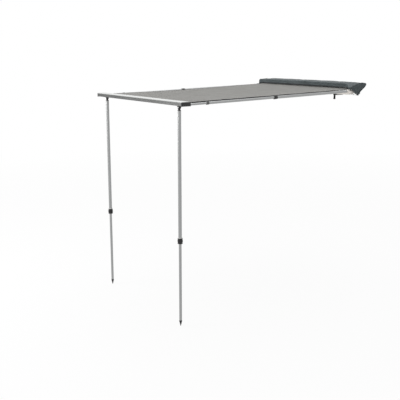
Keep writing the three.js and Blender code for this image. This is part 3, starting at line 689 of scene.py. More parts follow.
@node_group("GeometryNodeTree", "Set Screws", [
    ("Geometry", "Geometry"), ("Screw", "Object"), ("Turn", "Vector", (0.0, 0.0, 0.0)),
    ("Material", "Material")], [("Geometry", "Geometry")])
def screw_tree(tree, given, out):
    """Copies of one screw head at given points."""
    shape = add_node(tree, "GeometryNodeObjectInfo", {"Object": given["Screw"]})
    laid = add_node(tree, "GeometryNodeInstanceOnPoints", {
        "Points": given["Geometry"], "Instance": shape.outputs["Geometry"],
        "Rotation": given["Turn"]}).outputs[0]
    close_tree(tree, laid, given["Material"], out)


def run_tree(name, mesh, tree, values, material):
    """Runs a tree on a mesh and keeps its result as one plain piece."""
    piece = link_piece(name, mesh, material)
    modifier = add_modifier(piece, tree.name, "NODES", node_group=tree)
    sockets = {item.name: item.identifier for item in tree.interface.items_tree
               if item.in_out == "INPUT"}
    for key, value in {**values, "Material": finish(material)}.items():
        modifier[sockets[key]] = value
    return bake_modifiers(piece)


def stitches(name, paths, material="thread", long=0.0034, wide=0.0009, pitch=None):
    """Stitches along paths of points, each path a run of guide edges."""
    pitch = pitch or bpy.context.scene.awning_cloth.stitch_pitch
    verts, edges = [], []
    for path in paths:
        edges.extend((len(verts) + n, len(verts) + n + 1) for n in range(len(path) - 1))
        verts.extend(path)
    piece = run_tree(name, plain_mesh(name, verts, edges=edges), stitch_tree(),
                     {"Pitch": pitch, "Length": long, "Width": wide}, material)
    return settle(piece, "casing")


# Placing
def arm_matrix(side):
    """Local X runs out along the arm, from its pivot."""
    out = ARM_OUT[side]
    height = ARM_ROOT_Z - (out - ARM_OUT[1]) * math.tan(ARM_SLOPE)
    turn = Matrix.Rotation(ARM_SLOPE, 4, "Y") @ Matrix.Rotation(side * ARM_FOLD_TILT, 4, "X")
    return Matrix.Translation((out, side * ARM_Y, height)) @ turn


def arm_reach(side, x):
    """How far along its own length the arm is at x."""
    return (x - ARM_OUT[side]) / math.cos(ARM_SLOPE)


def leg_matrix(side):
    """Local X runs up the leg and is the height in the frame."""
    place = Matrix.Translation((LEG_X[side], side * LEG_Y, 0.0))
    return place @ Matrix.Rotation(-math.pi / 2, 4, "Y")


def lerp(low, high, share):
    return low + (high - low) * share


def smooth(low, high, value):
    t = min(max((value - low) / (high - low), 0.0), 1.0)
    return t * t * (3 - 2 * t)


# Cloth surfaces: CORNER_FOLDS are (x, side, folds) of the pull at each corner of the canopy
RIPPLE_PITCH = 0.150
CORNER_FOLDS = ((CANOPY_START, 1, 9), (CANOPY_START, -1, 8), (CANOPY_END, 1, 7),
                (CANOPY_END, -1, 8))


def canopy_point(along, across):
    """A point of the canopy: along runs from plate to rail, across from rear edge to front."""
    settings = bpy.context.scene.awning_cloth
    x = lerp(CANOPY_START, CANOPY_END, along)
    y = across * CANOPY_HALF
    line = lerp(CANOPY_KEDER_Z, RAIL_KEDER_Z, along)
    edge = EDGE_SAG_SHARES[1 if across > 0 else -1]
    slack = lerp(1.0, edge, across * across)
    z = line - settings.sag * slack * math.sin(math.pi * along)
    hold = min(1.0, 6.0 * along) * min(1.0, 6.0 * (1.0 - along))
    drift = noise.noise(Vector((x * 1.7, y * 1.3, 4.0)))
    ripple = math.sin(2 * math.pi * (y / RIPPLE_PITCH + 0.9 * drift)) * 0.45
    pull = 0.0
    for corner_x, corner_y, folds in CORNER_FOLDS:
        dx, dy = abs(x - corner_x), abs(corner_y * CANOPY_HALF - y)
        fade = math.exp(-math.hypot(dx, dy) / 0.30)
        pull += fade * math.sin(folds * 1.4 * math.atan2(dy, dx + 0.02)) * 1.6
    fine = noise.fractal(Vector((x * 5.0, y * 7.5, 1.0)), 0.6, 2.1, 5) * 1.1
    return Vector((x, y, z + settings.wrinkle * hold * (ripple + pull + fine)))


def lay_weave(mesh, flat_place):
    """Flat cloth coordinates as the weave's UV map."""
    layer = mesh.uv_layers.new(name="weave")
    for loop in mesh.loops:
        layer.data[loop.index].uv = flat_place(loop.vertex_index)


def grid_piece(name, grid, place, flat_place, material, thickness):
    """A sheet from a grid of points, with its flat coordinates as the weave's UV map."""
    rows, columns = grid
    spots = [(r / rows, c / columns) for r in range(rows + 1) for c in range(columns + 1)]
    width = columns + 1
    faces = [[r * width + c, (r + 1) * width + c, (r + 1) * width + c + 1, r * width + c + 1]
             for r in range(rows) for c in range(columns)]
    mesh = plain_mesh(name, [place(*spot) for spot in spots], faces)
    lay_weave(mesh, lambda n: flat_place(*spots[n]))
    piece = link_piece(name, mesh, material)
    add_modifier(piece, "Cloth Wall", "SOLIDIFY", thickness=thickness, offset=0.0)
    return bake_modifiers(piece, SHARP_CLOTH)


def gather_with_rail(piece):
    """Gives the piece a mesh of its own."""
    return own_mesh(piece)


def edge_tape(side):
    """Folded tape over one long edge of the canopy."""
    steps, reach, lift = 120, 0.011, 0.0007
    verts = []
    for n in range(steps + 1):
        along = 0.004 + 0.992 * n / steps
        hang = lerp(0.0016, 0.0076, smooth(0.10, 0.20, along) * smooth(0.0, 0.03, 1 - along))
        section = [
            (-reach, lift), (-reach * 0.5, lift * 1.25), (-0.0006, lift * 1.2),
            (0.0010, 0.0002), (0.0015, -hang * 0.5), (0.0014, -hang),
            (0.0004, -hang - 0.0004), (-0.0001, -hang * 0.5), (-0.0005, -lift * 1.3),
            (-reach, -lift), (-reach, -lift * 0.45), (-0.0002, -lift * 0.45),
            (-0.0002, lift * 0.45), (-reach, lift * 0.45)]
        edge = canopy_point(along, side)
        inner = canopy_point(along, side * (1 - reach / CANOPY_HALF))
        slope = (inner.z - edge.z) / reach
        verts += [(edge.x, edge.y + side * across, edge.z - slope * across + height)
                  for across, height in section]
    around = len(section)
    return verts, band_faces(steps + 1, around) + end_faces(steps + 1, around)


COVER_INNER = 0.0243
COVER_UNDER = 0.0513
COVER_FRONT = 0.0360
COVER_HALF = 0.7020
COVER_BACK = -0.1000
COVER_FREE_X = 0.0275
DRAPE_START = 0.550
DRAPE_TIP = 0.1220
BEND_STEPS = 5
EDGE_STEPS = (4, 14, 26, 14, 26, 24, 6, 10)
COVER_RINGS = 300
COVER_END_INSETS = ((0.0014, 0.0008), (0.0024, 0.0026))
ZIP_AT = 3 * (BEND_STEPS + 1) + 3 + 13 + 1
SEAM_AT = ZIP_AT + 12


def cover_corners(y):
    """Corners (x, z, radius) of the cover's plain section at y, from the plate's top outward."""
    spread = smooth(DRAPE_START, 0.705, y)
    fall = smooth(0.53, 0.69, -y)
    near = smooth(0.62, 0.71, y)
    tip = lerp(COVER_FRONT, DRAPE_TIP, spread) - 0.004 * fall
    skirt = lerp(0.0125, 0.0140, max(spread, fall))
    return (
        (COVER_INNER, COVER_UNDER, 0.002), (COVER_INNER, skirt, 0.003), (tip, skirt, 0.005),
        (tip, lerp(0.0560, 0.0310, spread) - 0.012 * fall, lerp(0.003, 0.008, spread)),
        (lerp(0.0300, 0.0400, spread), 0.0600 - 0.006 * fall, lerp(0.003, 0.014, spread)),
        (-0.0300, 0.0720 - 0.016 * fall, 0.030),
        (COVER_BACK, 0.0670 - 0.012 * fall - 0.010 * near, 0.008 - 0.004 * max(fall, near)),
        (COVER_BACK, COVER_UNDER, 0.0015))


def cover_section(y):
    """Points round the plain section at y, as many at every y."""
    bent = rounded_outline(cover_corners(y), BEND_STEPS)
    bends = [bent[n:n + BEND_STEPS + 1] for n in range(0, len(bent), BEND_STEPS + 1)]
    points = []
    for n, bend in enumerate(bends):
        start, stop = Vector(bend[-1]), Vector(bends[(n + 1) % len(bends)][0])
        steps = EDGE_STEPS[n]
        points += bend + [tuple(start.lerp(stop, k / steps)) for k in range(1, steps)]
    return points


def cover_crease(x, y, z):
    """Inward depth of the folded cover's creases, as a share of the crease setting."""
    wander = noise.noise(Vector((x * 5.0, y * 2.2, z * 6.0)))
    slow = noise.noise(Vector((2.0, y * 3.1, 7.0)))
    broad = 0.5 + 0.5 * noise.fractal(Vector((x * 8.0, y * 3.6, z * 10.0 + 2.0)), 0.7, 2.0, 4)
    level = 0.041 + 0.005 * slow
    layer = math.exp(-((z - level) / 0.0026) ** 2) if x > -0.02 else 0.0
    ridge = math.exp(-((x + 0.052 + 0.012 * slow) / 0.005) ** 2) if z > 0.055 else 0.0
    slanted = 1.0 - abs(math.sin(9.0 * y + 30.0 * z + 3.4 * wander)) ** 0.5
    near = smooth(0.40, 0.66, y)
    reach = math.hypot(x - 0.02, 0.75 - y) + 0.03
    fan = 1.0 - abs(math.sin(10.0 * math.atan2(z + 0.03, 0.78 - y) + 7.0 * x / reach)) ** 0.6
    rear = smooth(0.55, 0.70, -y) * (1.0 - abs(math.sin(52.0 * y + 40.0 * z)) ** 0.7)
    return (0.60 * broad + 0.2 * layer + 0.4 * ridge + 0.55 * slanted + 0.8 * near * fan
            + 0.6 * rear)


def cover_ring(y):
    """The cover's skin at y: its creased points and the run of each along the cloth."""
    crease = bpy.context.scene.awning_cloth.crease
    plain = cover_section(y)
    ring, run = [], 0.0
    for n, (x, z) in enumerate(plain):
        before, after = plain[n - 1], plain[(n + 1) % len(plain)]
        along = Vector((after[0] - before[0], after[1] - before[1])).normalized()
        if n:
            run += math.dist(before, plain[n])
        free = 0.0 if z < COVER_UNDER + 0.0008 and x < COVER_FREE_X else 1.0
        skirt = smooth(0.014, 0.026, z) if x > COVER_FREE_X else 1.0
        depth = crease * free * (0.25 + 0.75 * skirt) * cover_crease(x, y, z)
        swell = 0.0010 * free * math.sin(5.2 * y + 1.0)
        ring.append((Vector((x - along.y * depth, y, z + along.x * depth + swell)), run))
    return ring


def cover_shell():
    """Skin of the folded cover as one closed tube of rings, with its flat cloth coordinates."""
    body = COVER_HALF - COVER_END_INSETS[-1][0]
    places = [(-body - out, inset) for out, inset in reversed(COVER_END_INSETS)]
    places += [(lerp(-body, body, n / COVER_RINGS), 0.0) for n in range(COVER_RINGS + 1)]
    places += [(body + out, inset) for out, inset in COVER_END_INSETS]
    rings, verts, flats = [], [], []
    for y, inset in places:
        ring = cover_ring(y)
        around = len(ring)
        rings.append([spot for spot, _ in ring])
        for n, (spot, run) in enumerate(ring):
            if inset:
                along = (ring[(n + 1) % around][0] - ring[n - 1][0]).normalized()
                spot = spot + Vector((-along.z, 0.0, along.x)) * inset
            verts.append(spot)
            flats.append((y, run))
    faces = band_faces(len(places), around) + end_faces(len(places), around)
    return verts, faces, flats, rings


PANEL_TOPS = {
    1: ((-0.0960, 0.0540), (-0.0840, 0.0625), (-0.0300, 0.0690), (0.0340, 0.0575),
        (0.1200, 0.0290)),
    -1: ((-0.0960, 0.0520), (-0.0840, 0.0575), (-0.0300, 0.0550), (0.0150, 0.0520),
         (0.0310, 0.0410))}
PANEL_FOOT_X = (-0.0040, 0.0360)
PANEL_FOOT_Z = -0.0400
PANEL_OUT = 0.7042
PANEL_PLEAT = 0.0042


def on_path(points, share):
    """The point at that share of a path's legs, all legs counted alike."""
    legs = len(points) - 1
    spot = share * legs
    n = min(int(spot), legs - 1)
    return [lerp(low, high, spot - n) for low, high in zip(points[n], points[n + 1])]


def panel_point(side, down, across):
    """A point of a cover end panel: it falls from the cover's end and is gathered at its foot."""
    top_x, top_z = on_path(PANEL_TOPS[side], across)
    foot_z = PANEL_FOOT_Z + 0.003 * math.sin(9.0 * across)
    draw_in = lerp(smooth(0.02, 0.85, down), down ** 1.5, across)
    x = lerp(top_x, lerp(*PANEL_FOOT_X, across), draw_in)
    z = lerp(top_z, foot_z, down)
    gather = smooth(0.05, 0.65, down)
    turn = 3.6 * across ** 0.9 + 0.22 * math.sin(3.4 * down + 5.0 * across)
    fold = math.sin(2 * math.pi * turn)
    pleat = math.copysign(abs(fold) ** 1.4, fold) + 0.4 * math.sin(23.0 * across + 4.0 * down)
    uneven = noise.noise(Vector((x * 40, z * 40, side)))
    bulge = 0.0012 * math.sin(math.pi * down) + 0.0006 * uneven
    return Vector((x, side * (PANEL_OUT + bulge + PANEL_PLEAT * gather * (1.0 + pleat)), z))


def strap_path():
    """Side view of a storage strap: down the plate, then folded back on itself."""
    path = [(0.00405, -0.0364), (0.00415, -0.055), (0.00440, -0.075), (0.00420, -0.092)]
    path += [(0.00420 + 0.0008 * (1 - math.cos(a)), -0.0995 - 0.0042 * math.sin(a))
             for a in [math.pi * n / 10 for n in range(11)]]
    return path + [(0.00590, -0.0935), (0.00600, -0.0895)]


# Operators
class AWNING_OT_plate(bpy.types.Operator):
    """Backing plate extrusion with its end caps"""
    bl_idname = "awning.plate"
    bl_label = "Backing Plate"

    def execute(self, context):
        rear, front = [], []
        for z in (-SLOT_Z, SLOT_Z):
            rear += [(0.0, z - SLOT_MOUTH), (SLOT_WALL, z - SLOT_MOUTH),
                     (SLOT_WALL, z - SLOT_ROOM), (SLOT_DEPTH, z - SLOT_ROOM),
                     (SLOT_DEPTH, z + SLOT_ROOM), (SLOT_WALL, z + SLOT_ROOM),
                     (SLOT_WALL, z + SLOT_MOUTH), (0.0, z + SLOT_MOUTH)]
        for channel_z, slot_z in ((COVER_KEDER_Z, SLOT_Z), (CANOPY_KEDER_Z, -SLOT_Z)):
            high, low = slot_z + HOUSING_HALF, slot_z - HOUSING_HALF
            front += self.channel(channel_z)
            front += [(PLATE_WALL, high), (HOUSING_FRONT, high), (HOUSING_FRONT, low),
                      (PLATE_WALL, low)]
        outline = [(0.0, -PLATE_TOP), *rear, (0.0, PLATE_TOP), (PLATE_WALL, PLATE_TOP), *front,
                   (PLATE_WALL, -PLATE_TOP)]
        plate = extruded("plate_extrusion", outline, PLATE_HALF, "rail aluminium")
        settle(plate, "casing", "backing_plate")
        for name, _ in SIDES:
            refined(f"plate_end_cap_{name}", f"plate_cap_{name}", "black plastic", "casing",
                    0.0012)
        return {"FINISHED"}

    @staticmethod
    def channel(z):
        """Rope-edge channel on the plate's face, from its upper root to its lower one."""
        root = math.degrees(math.asin(CHANNEL_ROOT / KEDER_OUTER))
        lip = math.degrees(math.asin(KEDER_MOUTH / KEDER_OUTER))
        centre = (KEDER_OUT, z)
        upper = arc(centre, KEDER_OUTER, 180 - root, lip, 18)
        inner = arc(centre, KEDER_BORE, MOUTH_ANGLE, 360 - MOUTH_ANGLE, 28)
        lower = arc(centre, KEDER_OUTER, 360 - lip, 180 + root, 18)
        return [(PLATE_WALL, z + CHANNEL_ROOT), *upper, *inner, *lower,
                (PLATE_WALL, z - CHANNEL_ROOT)]


class AWNING_OT_brackets(bpy.types.Operator):
    """Rack brackets with their bolts and nuts"""
    bl_idname = "awning.brackets"
    bl_label = "Rack Brackets"

    def execute(self, context):
        for name, _ in SIDES:
            refined(f"rack_bracket_{name}", f"rack_foot_{name}", "black powder coat", "casing",
                    0.0008)
            for level in ("upper", "lower"):
                for kind in ("bolt", "nut"):
                    refined(f"rack_{kind}_{name}_{level}", f"slot_{kind}_{name}_{level}",
                            "bright zinc", "casing", 0.0004)
        return {"FINISHED"}


class AWNING_OT_canopy(bpy.types.Operator):
    """Canopy cloth with edge tapes, stitches and rope edges"""
    bl_idname = "awning.canopy"
    bl_label = "Canopy"

    def execute(self, context):
        run = CANOPY_END - CANOPY_START
        cloth_piece = grid_piece(
            "canopy_cloth", CANOPY_GRID, lambda r, c: canopy_point(r, 2 * c - 1),
            lambda r, c: (r * run, (2 * c - 1) * CANOPY_HALF), "canopy cloth",
            CANOPY_THICK)
        settle(cloth_piece, "casing", "canopy")
        trims = [settle(make_piece(f"canopy_tape_{name}", *edge_tape(side), "edge tape",
                                   SHARP_TAPE), "casing") for name, side in SIDES]
        trims.append(stitches("canopy_stitches", self.seams()))
        ropes = [
            rope_edge("canopy_cord_plate", KEDER_OUT, CANOPY_KEDER_Z, CANOPY_HALF, "casing",
                      "canopy_rope_plate"),
            rope_edge("canopy_cord_rail", RAIL_KEDER_X, RAIL_KEDER_Z, CANOPY_HALF, "front_rail",
                      "canopy_rope_rail")]
        for piece in [cloth_piece, *trims]:
            gather_with_rail(piece)
        return {"FINISHED"}

    @staticmethod
    def seams():
        """Two rows of stitches in each edge tape, and one across the cloth at plate and rail."""
        on_tape, on_cloth = Vector((0.0, 0.0, 0.00095)), Vector((0.0, 0.0, 0.0004))
        seams = [[canopy_point(0.006 + 0.988 * n / 240, side * (1 - inset / CANOPY_HALF)) + on_tape
                  for n in range(241)] for side in (1, -1) for inset in TAPE_SEAMS]
        for x in HEM_SEAMS_X:
            along = (x - CANOPY_START) / (CANOPY_END - CANOPY_START)
            seams.append([canopy_point(along, 0.975 * (2 * n / 160 - 1)) + on_cloth
                          for n in range(161)])
        return seams


def rope_edge(name, x, z, half, body, node):
    """A rope along Y in its channel."""
    end = 0.0008
    profile = [(-half, 0.0), (-half, ROPE_RADIUS - end), (-half + end, ROPE_RADIUS),
               (half - end, ROPE_RADIUS), (half, ROPE_RADIUS - end), (half, 0.0)]
    place = Matrix.Translation((x, 0.0, z)) @ Matrix.Rotation(math.pi / 2, 4, "Z")
    return settle(revolved(name, profile, place, "rope sleeve", False, 28), body, node)


class AWNING_OT_cover(bpy.types.Operator):
    """Opened cover folded over the plate, its zip, end panels and rope edge"""
    bl_idname = "awning.cover"
    bl_label = "Cover"

    def execute(self, context):
        verts, faces, flats, rings = cover_shell()
        mesh = plain_mesh("cover_skin", verts, faces)
        bm = bmesh.new()
        bm.from_mesh(mesh)
        bmesh.ops.recalc_face_normals(bm, faces=bm.faces)
        bm.to_mesh(mesh)
        bm.free()
        lay_weave(mesh, lambda n: flats[n])
        shade(mesh, SHARP_CLOTH)
        skin = link_piece("cover_skin", mesh, "cover cloth")
        settle(skin, "casing", "cover_bag")
        rope_edge("cover_cord", KEDER_OUT, COVER_KEDER_Z, PLATE_HALF, "casing", "cover_rope")
        self.tab()
        self.zip(rings)
        for name, side in SIDES:
            self.panel(name, side, skin)
        return {"FINISHED"}

    @staticmethod
    def panel(name, side, skin):
        """End panel with a seam along its top."""
        drop = 0.108
        width = {1: 0.230, -1: 0.140}[side]
        panel = grid_piece(
            f"cover_panel_{name}", PANEL_GRID, lambda r, c: panel_point(side, r, c),
            lambda r, c: (r * drop, c * width), "cover cloth", PANEL_THICK)
        settle(panel, "casing", f"cover_end_panel_{name}")
        out = Vector((0.0, side * 0.0008, 0.0))
        stitches(f"cover_panel_stitches_{name}",
                 [[panel_point(side, 0.045, 0.02 + 0.96 * n / 60) + out for n in range(61)]])

    @staticmethod
    def tab():
        """Cloth from the rope edge up into the folded cover."""
        low, high, under, over = 0.0126, 0.0290, 0.0440, 0.0448
        outline = [(low, under), (high, under), (high, over), (low, over)]
        settle(extruded("cover_tab", outline, PLATE_HALF, "cover cloth"), "casing")

    @staticmethod
    def zip(rings):
        """Half of a zip along the lower front edge of the cover, and a sewn seam above it."""
        kept = [ring for ring in rings if abs(ring[0].y) < 0.655]
        section = ((0.0, 0.0036), (0.0010, 0.0034), (0.0010, -0.0030), (0.0, -0.0032))
        verts = []
        for ring in kept:
            along = (ring[ZIP_AT + 2] - ring[ZIP_AT - 2]).normalized()
            across = Vector((along.z, 0.0, -along.x))
            verts += [ring[ZIP_AT] + across * out + along * up for out, up in section]
        faces = band_faces(len(kept), 4) + end_faces(len(kept), 4)
        settle(make_piece("cover_zip_tape", verts, faces, "edge tape"), "casing")
        path = [(low + high) / 2 for low, high in zip(verts[2::4], verts[3::4])]
        pitch = bpy.context.scene.awning_cloth.tooth_pitch
        stitches("cover_zip_teeth", [path], "black plastic", 0.0018, 0.0030, pitch)
        sunk = Vector((0.0008, 0.0, -0.0008))
        seam = [high * 0.3 + low * 0.7 + sunk for low, high in zip(verts[::4], verts[1::4])]
        upper = [ring[SEAM_AT] + Vector((0.0004, 0.0, 0.0)) for ring in kept]
        stitches("cover_zip_stitches", [seam, upper])


class AWNING_OT_straps(bpy.types.Operator):
    """Storage straps that hang from the plate"""
    bl_idname = "awning.straps"
    bl_label = "Storage Straps"

    def execute(self, context):
        path = strap_path()
        half = 0.0124
        run = [0.0]
        for before, after in zip(path, path[1:]):
            run.append(run[-1] + math.dist(before, after))
        for name, side in SIDES:
            def place(r, c, middle=side * STRAP_Y):
                x, z = on_path(path, r)
                return Vector((x, middle + lerp(-half, half, c), z))

            strap = grid_piece(f"strap_{name}", STRAP_GRID, place,
                               lambda r, c: (r * run[-1], c * 2 * half), "edge tape",
                               STRAP_THICK)
            settle(strap, "casing", f"storage_strap_{name}")
        return {"FINISHED"}


def cap_screws(name, points, side, body):
    """Button-head screws with a round recess, facing along Y."""
    radius = bpy.context.scene.awning_trim.screw_radius
    crown = 0.5 * radius
    profile = [(-0.0006, 0.0), (-0.0006, radius), (0.0, radius), (crown * 0.55, radius * 0.86),
               (crown * 0.85, radius * 0.62), (crown, radius * 0.42),
               (crown * 0.35, radius * 0.38), (crown * 0.35, 0.0)]
    head = revolved("screw_head", profile, Matrix.Rotation(math.pi / 2, 4, "Z"),
                    "black powder coat", False, 24)
    turn = (0.0, 0.0, 0.0) if side > 0 else (0.0, 0.0, math.pi)
    screws = run_tree(name, plain_mesh(name, points), screw_tree(),
                      {"Screw": head, "Turn": turn}, "black powder coat")
    bpy.data.objects.remove(head)
    settle(screws, body)


class AWNING_OT_rail(bpy.types.Operator):
    """Front rail extrusion with its end caps and their screws"""
    bl_idname = "awning.rail"
    bl_label = "Front Rail"

    def execute(self, context):
        block = RAIL_REAR + 2 * KEDER_OUTER
        inner_front = REACH - RAIL_STEP - RAIL_WALL
        rail = extruded("rail_extrusion", self.outline(block, inner_front), PLATE_HALF,
                        "rail aluminium")
        # Painted shade: faces turned forward on the rail's stepped front take the darker copy of
        # the rail's finish
        rail.data.materials.append(finish("rail face aluminium"))
        for face in rail.data.polygons:
            if face.normal.x > 0.8 and face.center.x > inner_front:
                face.material_index = 1
        back, under = RAIL_REAR - NOTCH_SPARE, RAIL_BOTTOM - NOTCH_SPARE
        past = PLATE_HALF + NOTCH_SPARE
        carve(rail, [((back, low, under), (block + 0.002, high, NOTCH_TOP))
                     for low, high in ((NOTCH_START, past), (-past, -NOTCH_START))])
        settle(rail, "front_rail", "front_rail")
        for name, side in SIDES:
            refined(f"rail_end_cap_{name}", f"rail_cap_{name}", "black plastic", "front_rail",
                    0.0012)
            points = [(x, side * HALF_LENGTH, CAP_SCREWS_Z) for x in CAP_SCREWS_X]
            cap_screws(f"rail_cap_screws_{name}", points, side, "front_rail")
        return {"FINISHED"}

    @staticmethod
    def outline(block, inner_front):
        """Section of the rail: its rope channel, round top, stepped face and open underside."""
        inner_back = RAIL_REAR + RAIL_WALL
        bend = RAIL_SHOULDER - RAIL_WALL
        lip = RAIL_BOTTOM + RAIL_LIP
        nose = RAIL_TOP - RAIL_NOSE
        outline = [(RAIL_REAR, RAIL_BOTTOM), (RAIL_REAR, RAIL_KEDER_Z - KEDER_MOUTH)]
        outline += arc((RAIL_KEDER_X, RAIL_KEDER_Z), KEDER_BORE, 180 + MOUTH_ANGLE,
                       540 - MOUTH_ANGLE, 28)
        outline += [(RAIL_REAR, RAIL_KEDER_Z + KEDER_MOUTH)]
        outline += arc((RAIL_REAR + RAIL_EDGE, RAIL_TOP - RAIL_EDGE), RAIL_EDGE, 180, 90, 4)
        outline += arc((REACH - RAIL_SHOULDER, RAIL_TOP - RAIL_SHOULDER), RAIL_SHOULDER,
                       90, 0, 14)
        outline += rounded_outline([
            (REACH, RAIL_TOP - RAIL_SHOULDER, 0.0), (REACH, nose, 0.0004),
            (REACH - RAIL_STEP, nose, 0.0), (REACH - RAIL_STEP, lip, 0.0),
            (REACH, lip, RAIL_EDGE), (REACH, RAIL_BOTTOM, 0.0022),
            (inner_front, RAIL_BOTTOM, 0.0005), (inner_front, RAIL_ROOF - bend, 0.0)], 4)[1:]
        outline += arc((inner_front - bend, RAIL_ROOF - bend), bend, 0, 90, 10)[1:]
        outline += rounded_outline([
            (inner_front - bend, RAIL_ROOF, 0.0), (block, RAIL_ROOF, 0.0),
            (block, RAIL_KEDER_Z - KEDER_OUTER, 0.0005),
            (inner_back, RAIL_KEDER_Z - KEDER_OUTER, 0.0), (inner_back, RAIL_BOTTOM, 0.0005),
            (RAIL_REAR, RAIL_BOTTOM, 0.0)], 4)[1:-1]
        return outline


def tube(name, low, high, radii, matrix, material, body, *nodes):
    """A tube from low to high, radii its outer and inner one."""
    piece = revolved(name, tube_profile(low, high, *radii), matrix, material)
    settle(piece, body, *nodes)


def twist_lock(name, long, radius, bores, middle, way, matrix, material, body):
    """A collar with grip ribs, wide over the outer tube and stepped down to the inner one."""
    skin = radius - 0.0016
    band = 0.1 * long
    wide, narrow = (bore + 0.0003 for bore in bores)
    near, far = -way * long / 2, way * long / 2
    profile = [
        (near, wide), (near, skin - 0.0016), (near + way * 0.0012, skin),
        (near + way * band, skin), (near + way * (band + 0.0006), skin - 0.0006),
        (far - way * (band + 0.0012), skin - 0.0006),
        (far - way * (band + 0.0006), radius - 0.0004), (far - way * 0.0012, radius - 0.0004),
        (far, skin - 0.0008), (far, narrow + 0.0004), (far - way * 0.0004, narrow),
        (0.0, narrow), (0.0, wide)]
    collar = revolved(name, profile, Matrix.Identity(4), material, sides=60)
    mesh = collar.data.copy()
    bpy.data.objects.remove(collar)
    piece = run_tree(name, mesh, rib_tree(), {
        "Ribs": bpy.context.scene.awning_trim.grip_ribs, "Ring Radius": skin - 0.0005,
        "Rib Length": long - 4.2 * band, "Rib Width": 0.2 * radius, "Middle": -way * 0.0003},
        material)
    piece.data.transform(matrix @ Matrix.Translation((middle, 0.0, 0.0)))
    settle(piece, body, body)


class AWNING_OT_arms(bpy.types.Operator):
    """Telescoping side arms with their brackets, pins, castings, locks and tips"""
    bl_idname = "awning.arms"
    bl_label = "Side Arms"

    def execute(self, context):
        for name, side in SIDES:
            matrix = arm_matrix(side)
            lock_at = arm_reach(side, ARM_INNER_LOCK_OUT)
            set_back = ARM_OUT[side] - ARM_OUT[1]
            for node, part, material, body, width in (
                    ("bracket", "ears", "black powder coat", "casing", 0.0008),
                    ("pin", "pivot", "bright zinc", "casing", 0.0006),
                    ("root", "casting", "cast aluminium", f"arm_outer_{name}", 0.0016)):
                refined(f"arm_{node}_{name}", f"arm_{part}_{name}", material, body, width)
            spans = (("outer", ARM_TUBE_START, ARM_OUTER_END),
                     ("middle", ARM_OUTER_END - ARM_OVERLAPS[0] - set_back, lock_at),
                     ("inner", lock_at - ARM_OVERLAPS[1],
                      arm_reach(side, RAIL_REAR) + ARM_TIP_OVERLAP))
            for (part, low, high), radii in zip(spans, ARM_TUBES):
                tube(f"arm_{part}_{name}_tube", low, high, radii, matrix, "arm aluminium",
                     f"arm_{part}_{name}", f"arm_{part}_tube_{name}")
            locks = (("outer", ARM_OUTER_END, "black plastic"), ("inner", lock_at, "grey plastic"))
            for (part, middle, material), big, small in zip(locks, ARM_TUBES, ARM_TUBES[1:]):
                twist_lock(f"arm_{part}_collar_{name}", ARM_LOCK_LENGTHS[part],
                           big[0] + ARM_LOCK_WALL, (big[0], small[0]), middle, 1, matrix,
                           material, f"arm_{part}_lock_{name}")
            refined(f"arm_tip_{name}", f"arm_spigot_{name}", "black plastic",
                    f"arm_inner_{name}", 0.0006)
        return {"FINISHED"}


class AWNING_OT_legs(bpy.types.Operator):
    """Folding legs with their brackets, knuckles, tubes, locks and pointed feet"""
    bl_idname = "awning.legs"
    bl_label = "Legs"

    def execute(self, context):
        for name, side in SIDES:
            matrix = leg_matrix(side)
            upper, lower = f"leg_upper_{name}", f"leg_lower_{name}"
            for node, part, material, body, width in (
                    ("bracket", "ears", "black powder coat", "front_rail", 0.0007),
                    ("pin", "pivot", "bright zinc", "front_rail", 0.0005),
                    ("knuckle", "hinge", "black plastic", upper, 0.0008)):
                refined(f"leg_{node}_{name}", f"leg_{part}_{name}", material, body, width)
            tube(f"leg_{name}_upper_tube", LEG_LOCK_Z, LEG_TUBE_TOP, LEG_TUBES[0], matrix,
                 "leg aluminium", upper, f"leg_upper_tube_{name}")
            tube(f"leg_{name}_lower_tube", LEG_FOOT_TOP + 0.0003, LEG_LOWER_TOP, LEG_TUBES[1],
                 matrix, "leg aluminium", lower, f"leg_lower_tube_{name}")
            twist_lock(f"leg_collar_{name}", LEG_LOCK_LENGTH, LEG_LOCK_RADIUS,
                       (LEG_TUBES[0][0], LEG_TUBES[1][0]), LEG_LOCK_Z, -1, matrix,
                       "black plastic", f"leg_lock_{name}")
            seat = LEG_LOCK_Z + LEG_LOCK_LENGTH / 2 + 0.0004
            tube(f"leg_ferrule_{name}", seat, seat + LEG_FERRULE_LENGTH, LEG_FERRULE, matrix,
                 "pale nylon", upper)
            refined(f"leg_expander_{name}", f"leg_plug_{name}", "black plastic", lower, 0.0006)
            self.foot(name, matrix, lower)
        return {"FINISHED"}

    @staticmethod
    def foot(name, matrix, body):
        """Pointed foot: a spike, a collar under the tube's end and a plug inside it."""
        outer, plug = LEG_TUBES[1][0] + 0.0006, LEG_TUBES[1][1] - 0.0003
        shoulder, top = LEG_FOOT_TOP - FOOT_COLLAR, LEG_FOOT_TOP + FOOT_PLUG
        profile = [(GROUND, 0.0), (GROUND, 0.0012), (GROUND + 0.0008, 0.0021),
                   (shoulder - 0.002, outer - 0.0013), (shoulder, outer - 0.0004),
                   (shoulder + 0.0006, outer), (LEG_FOOT_TOP - 0.0006, outer),
                   (LEG_FOOT_TOP, outer - 0.0006), (LEG_FOOT_TOP, plug),
                   (top - 0.0005, plug), (top, plug - 0.0005), (top, 0.0)]
        foot = revolved(f"leg_point_{name}", profile, matrix, "black plastic", False, 48)
        settle(foot, body, f"leg_foot_{name}")


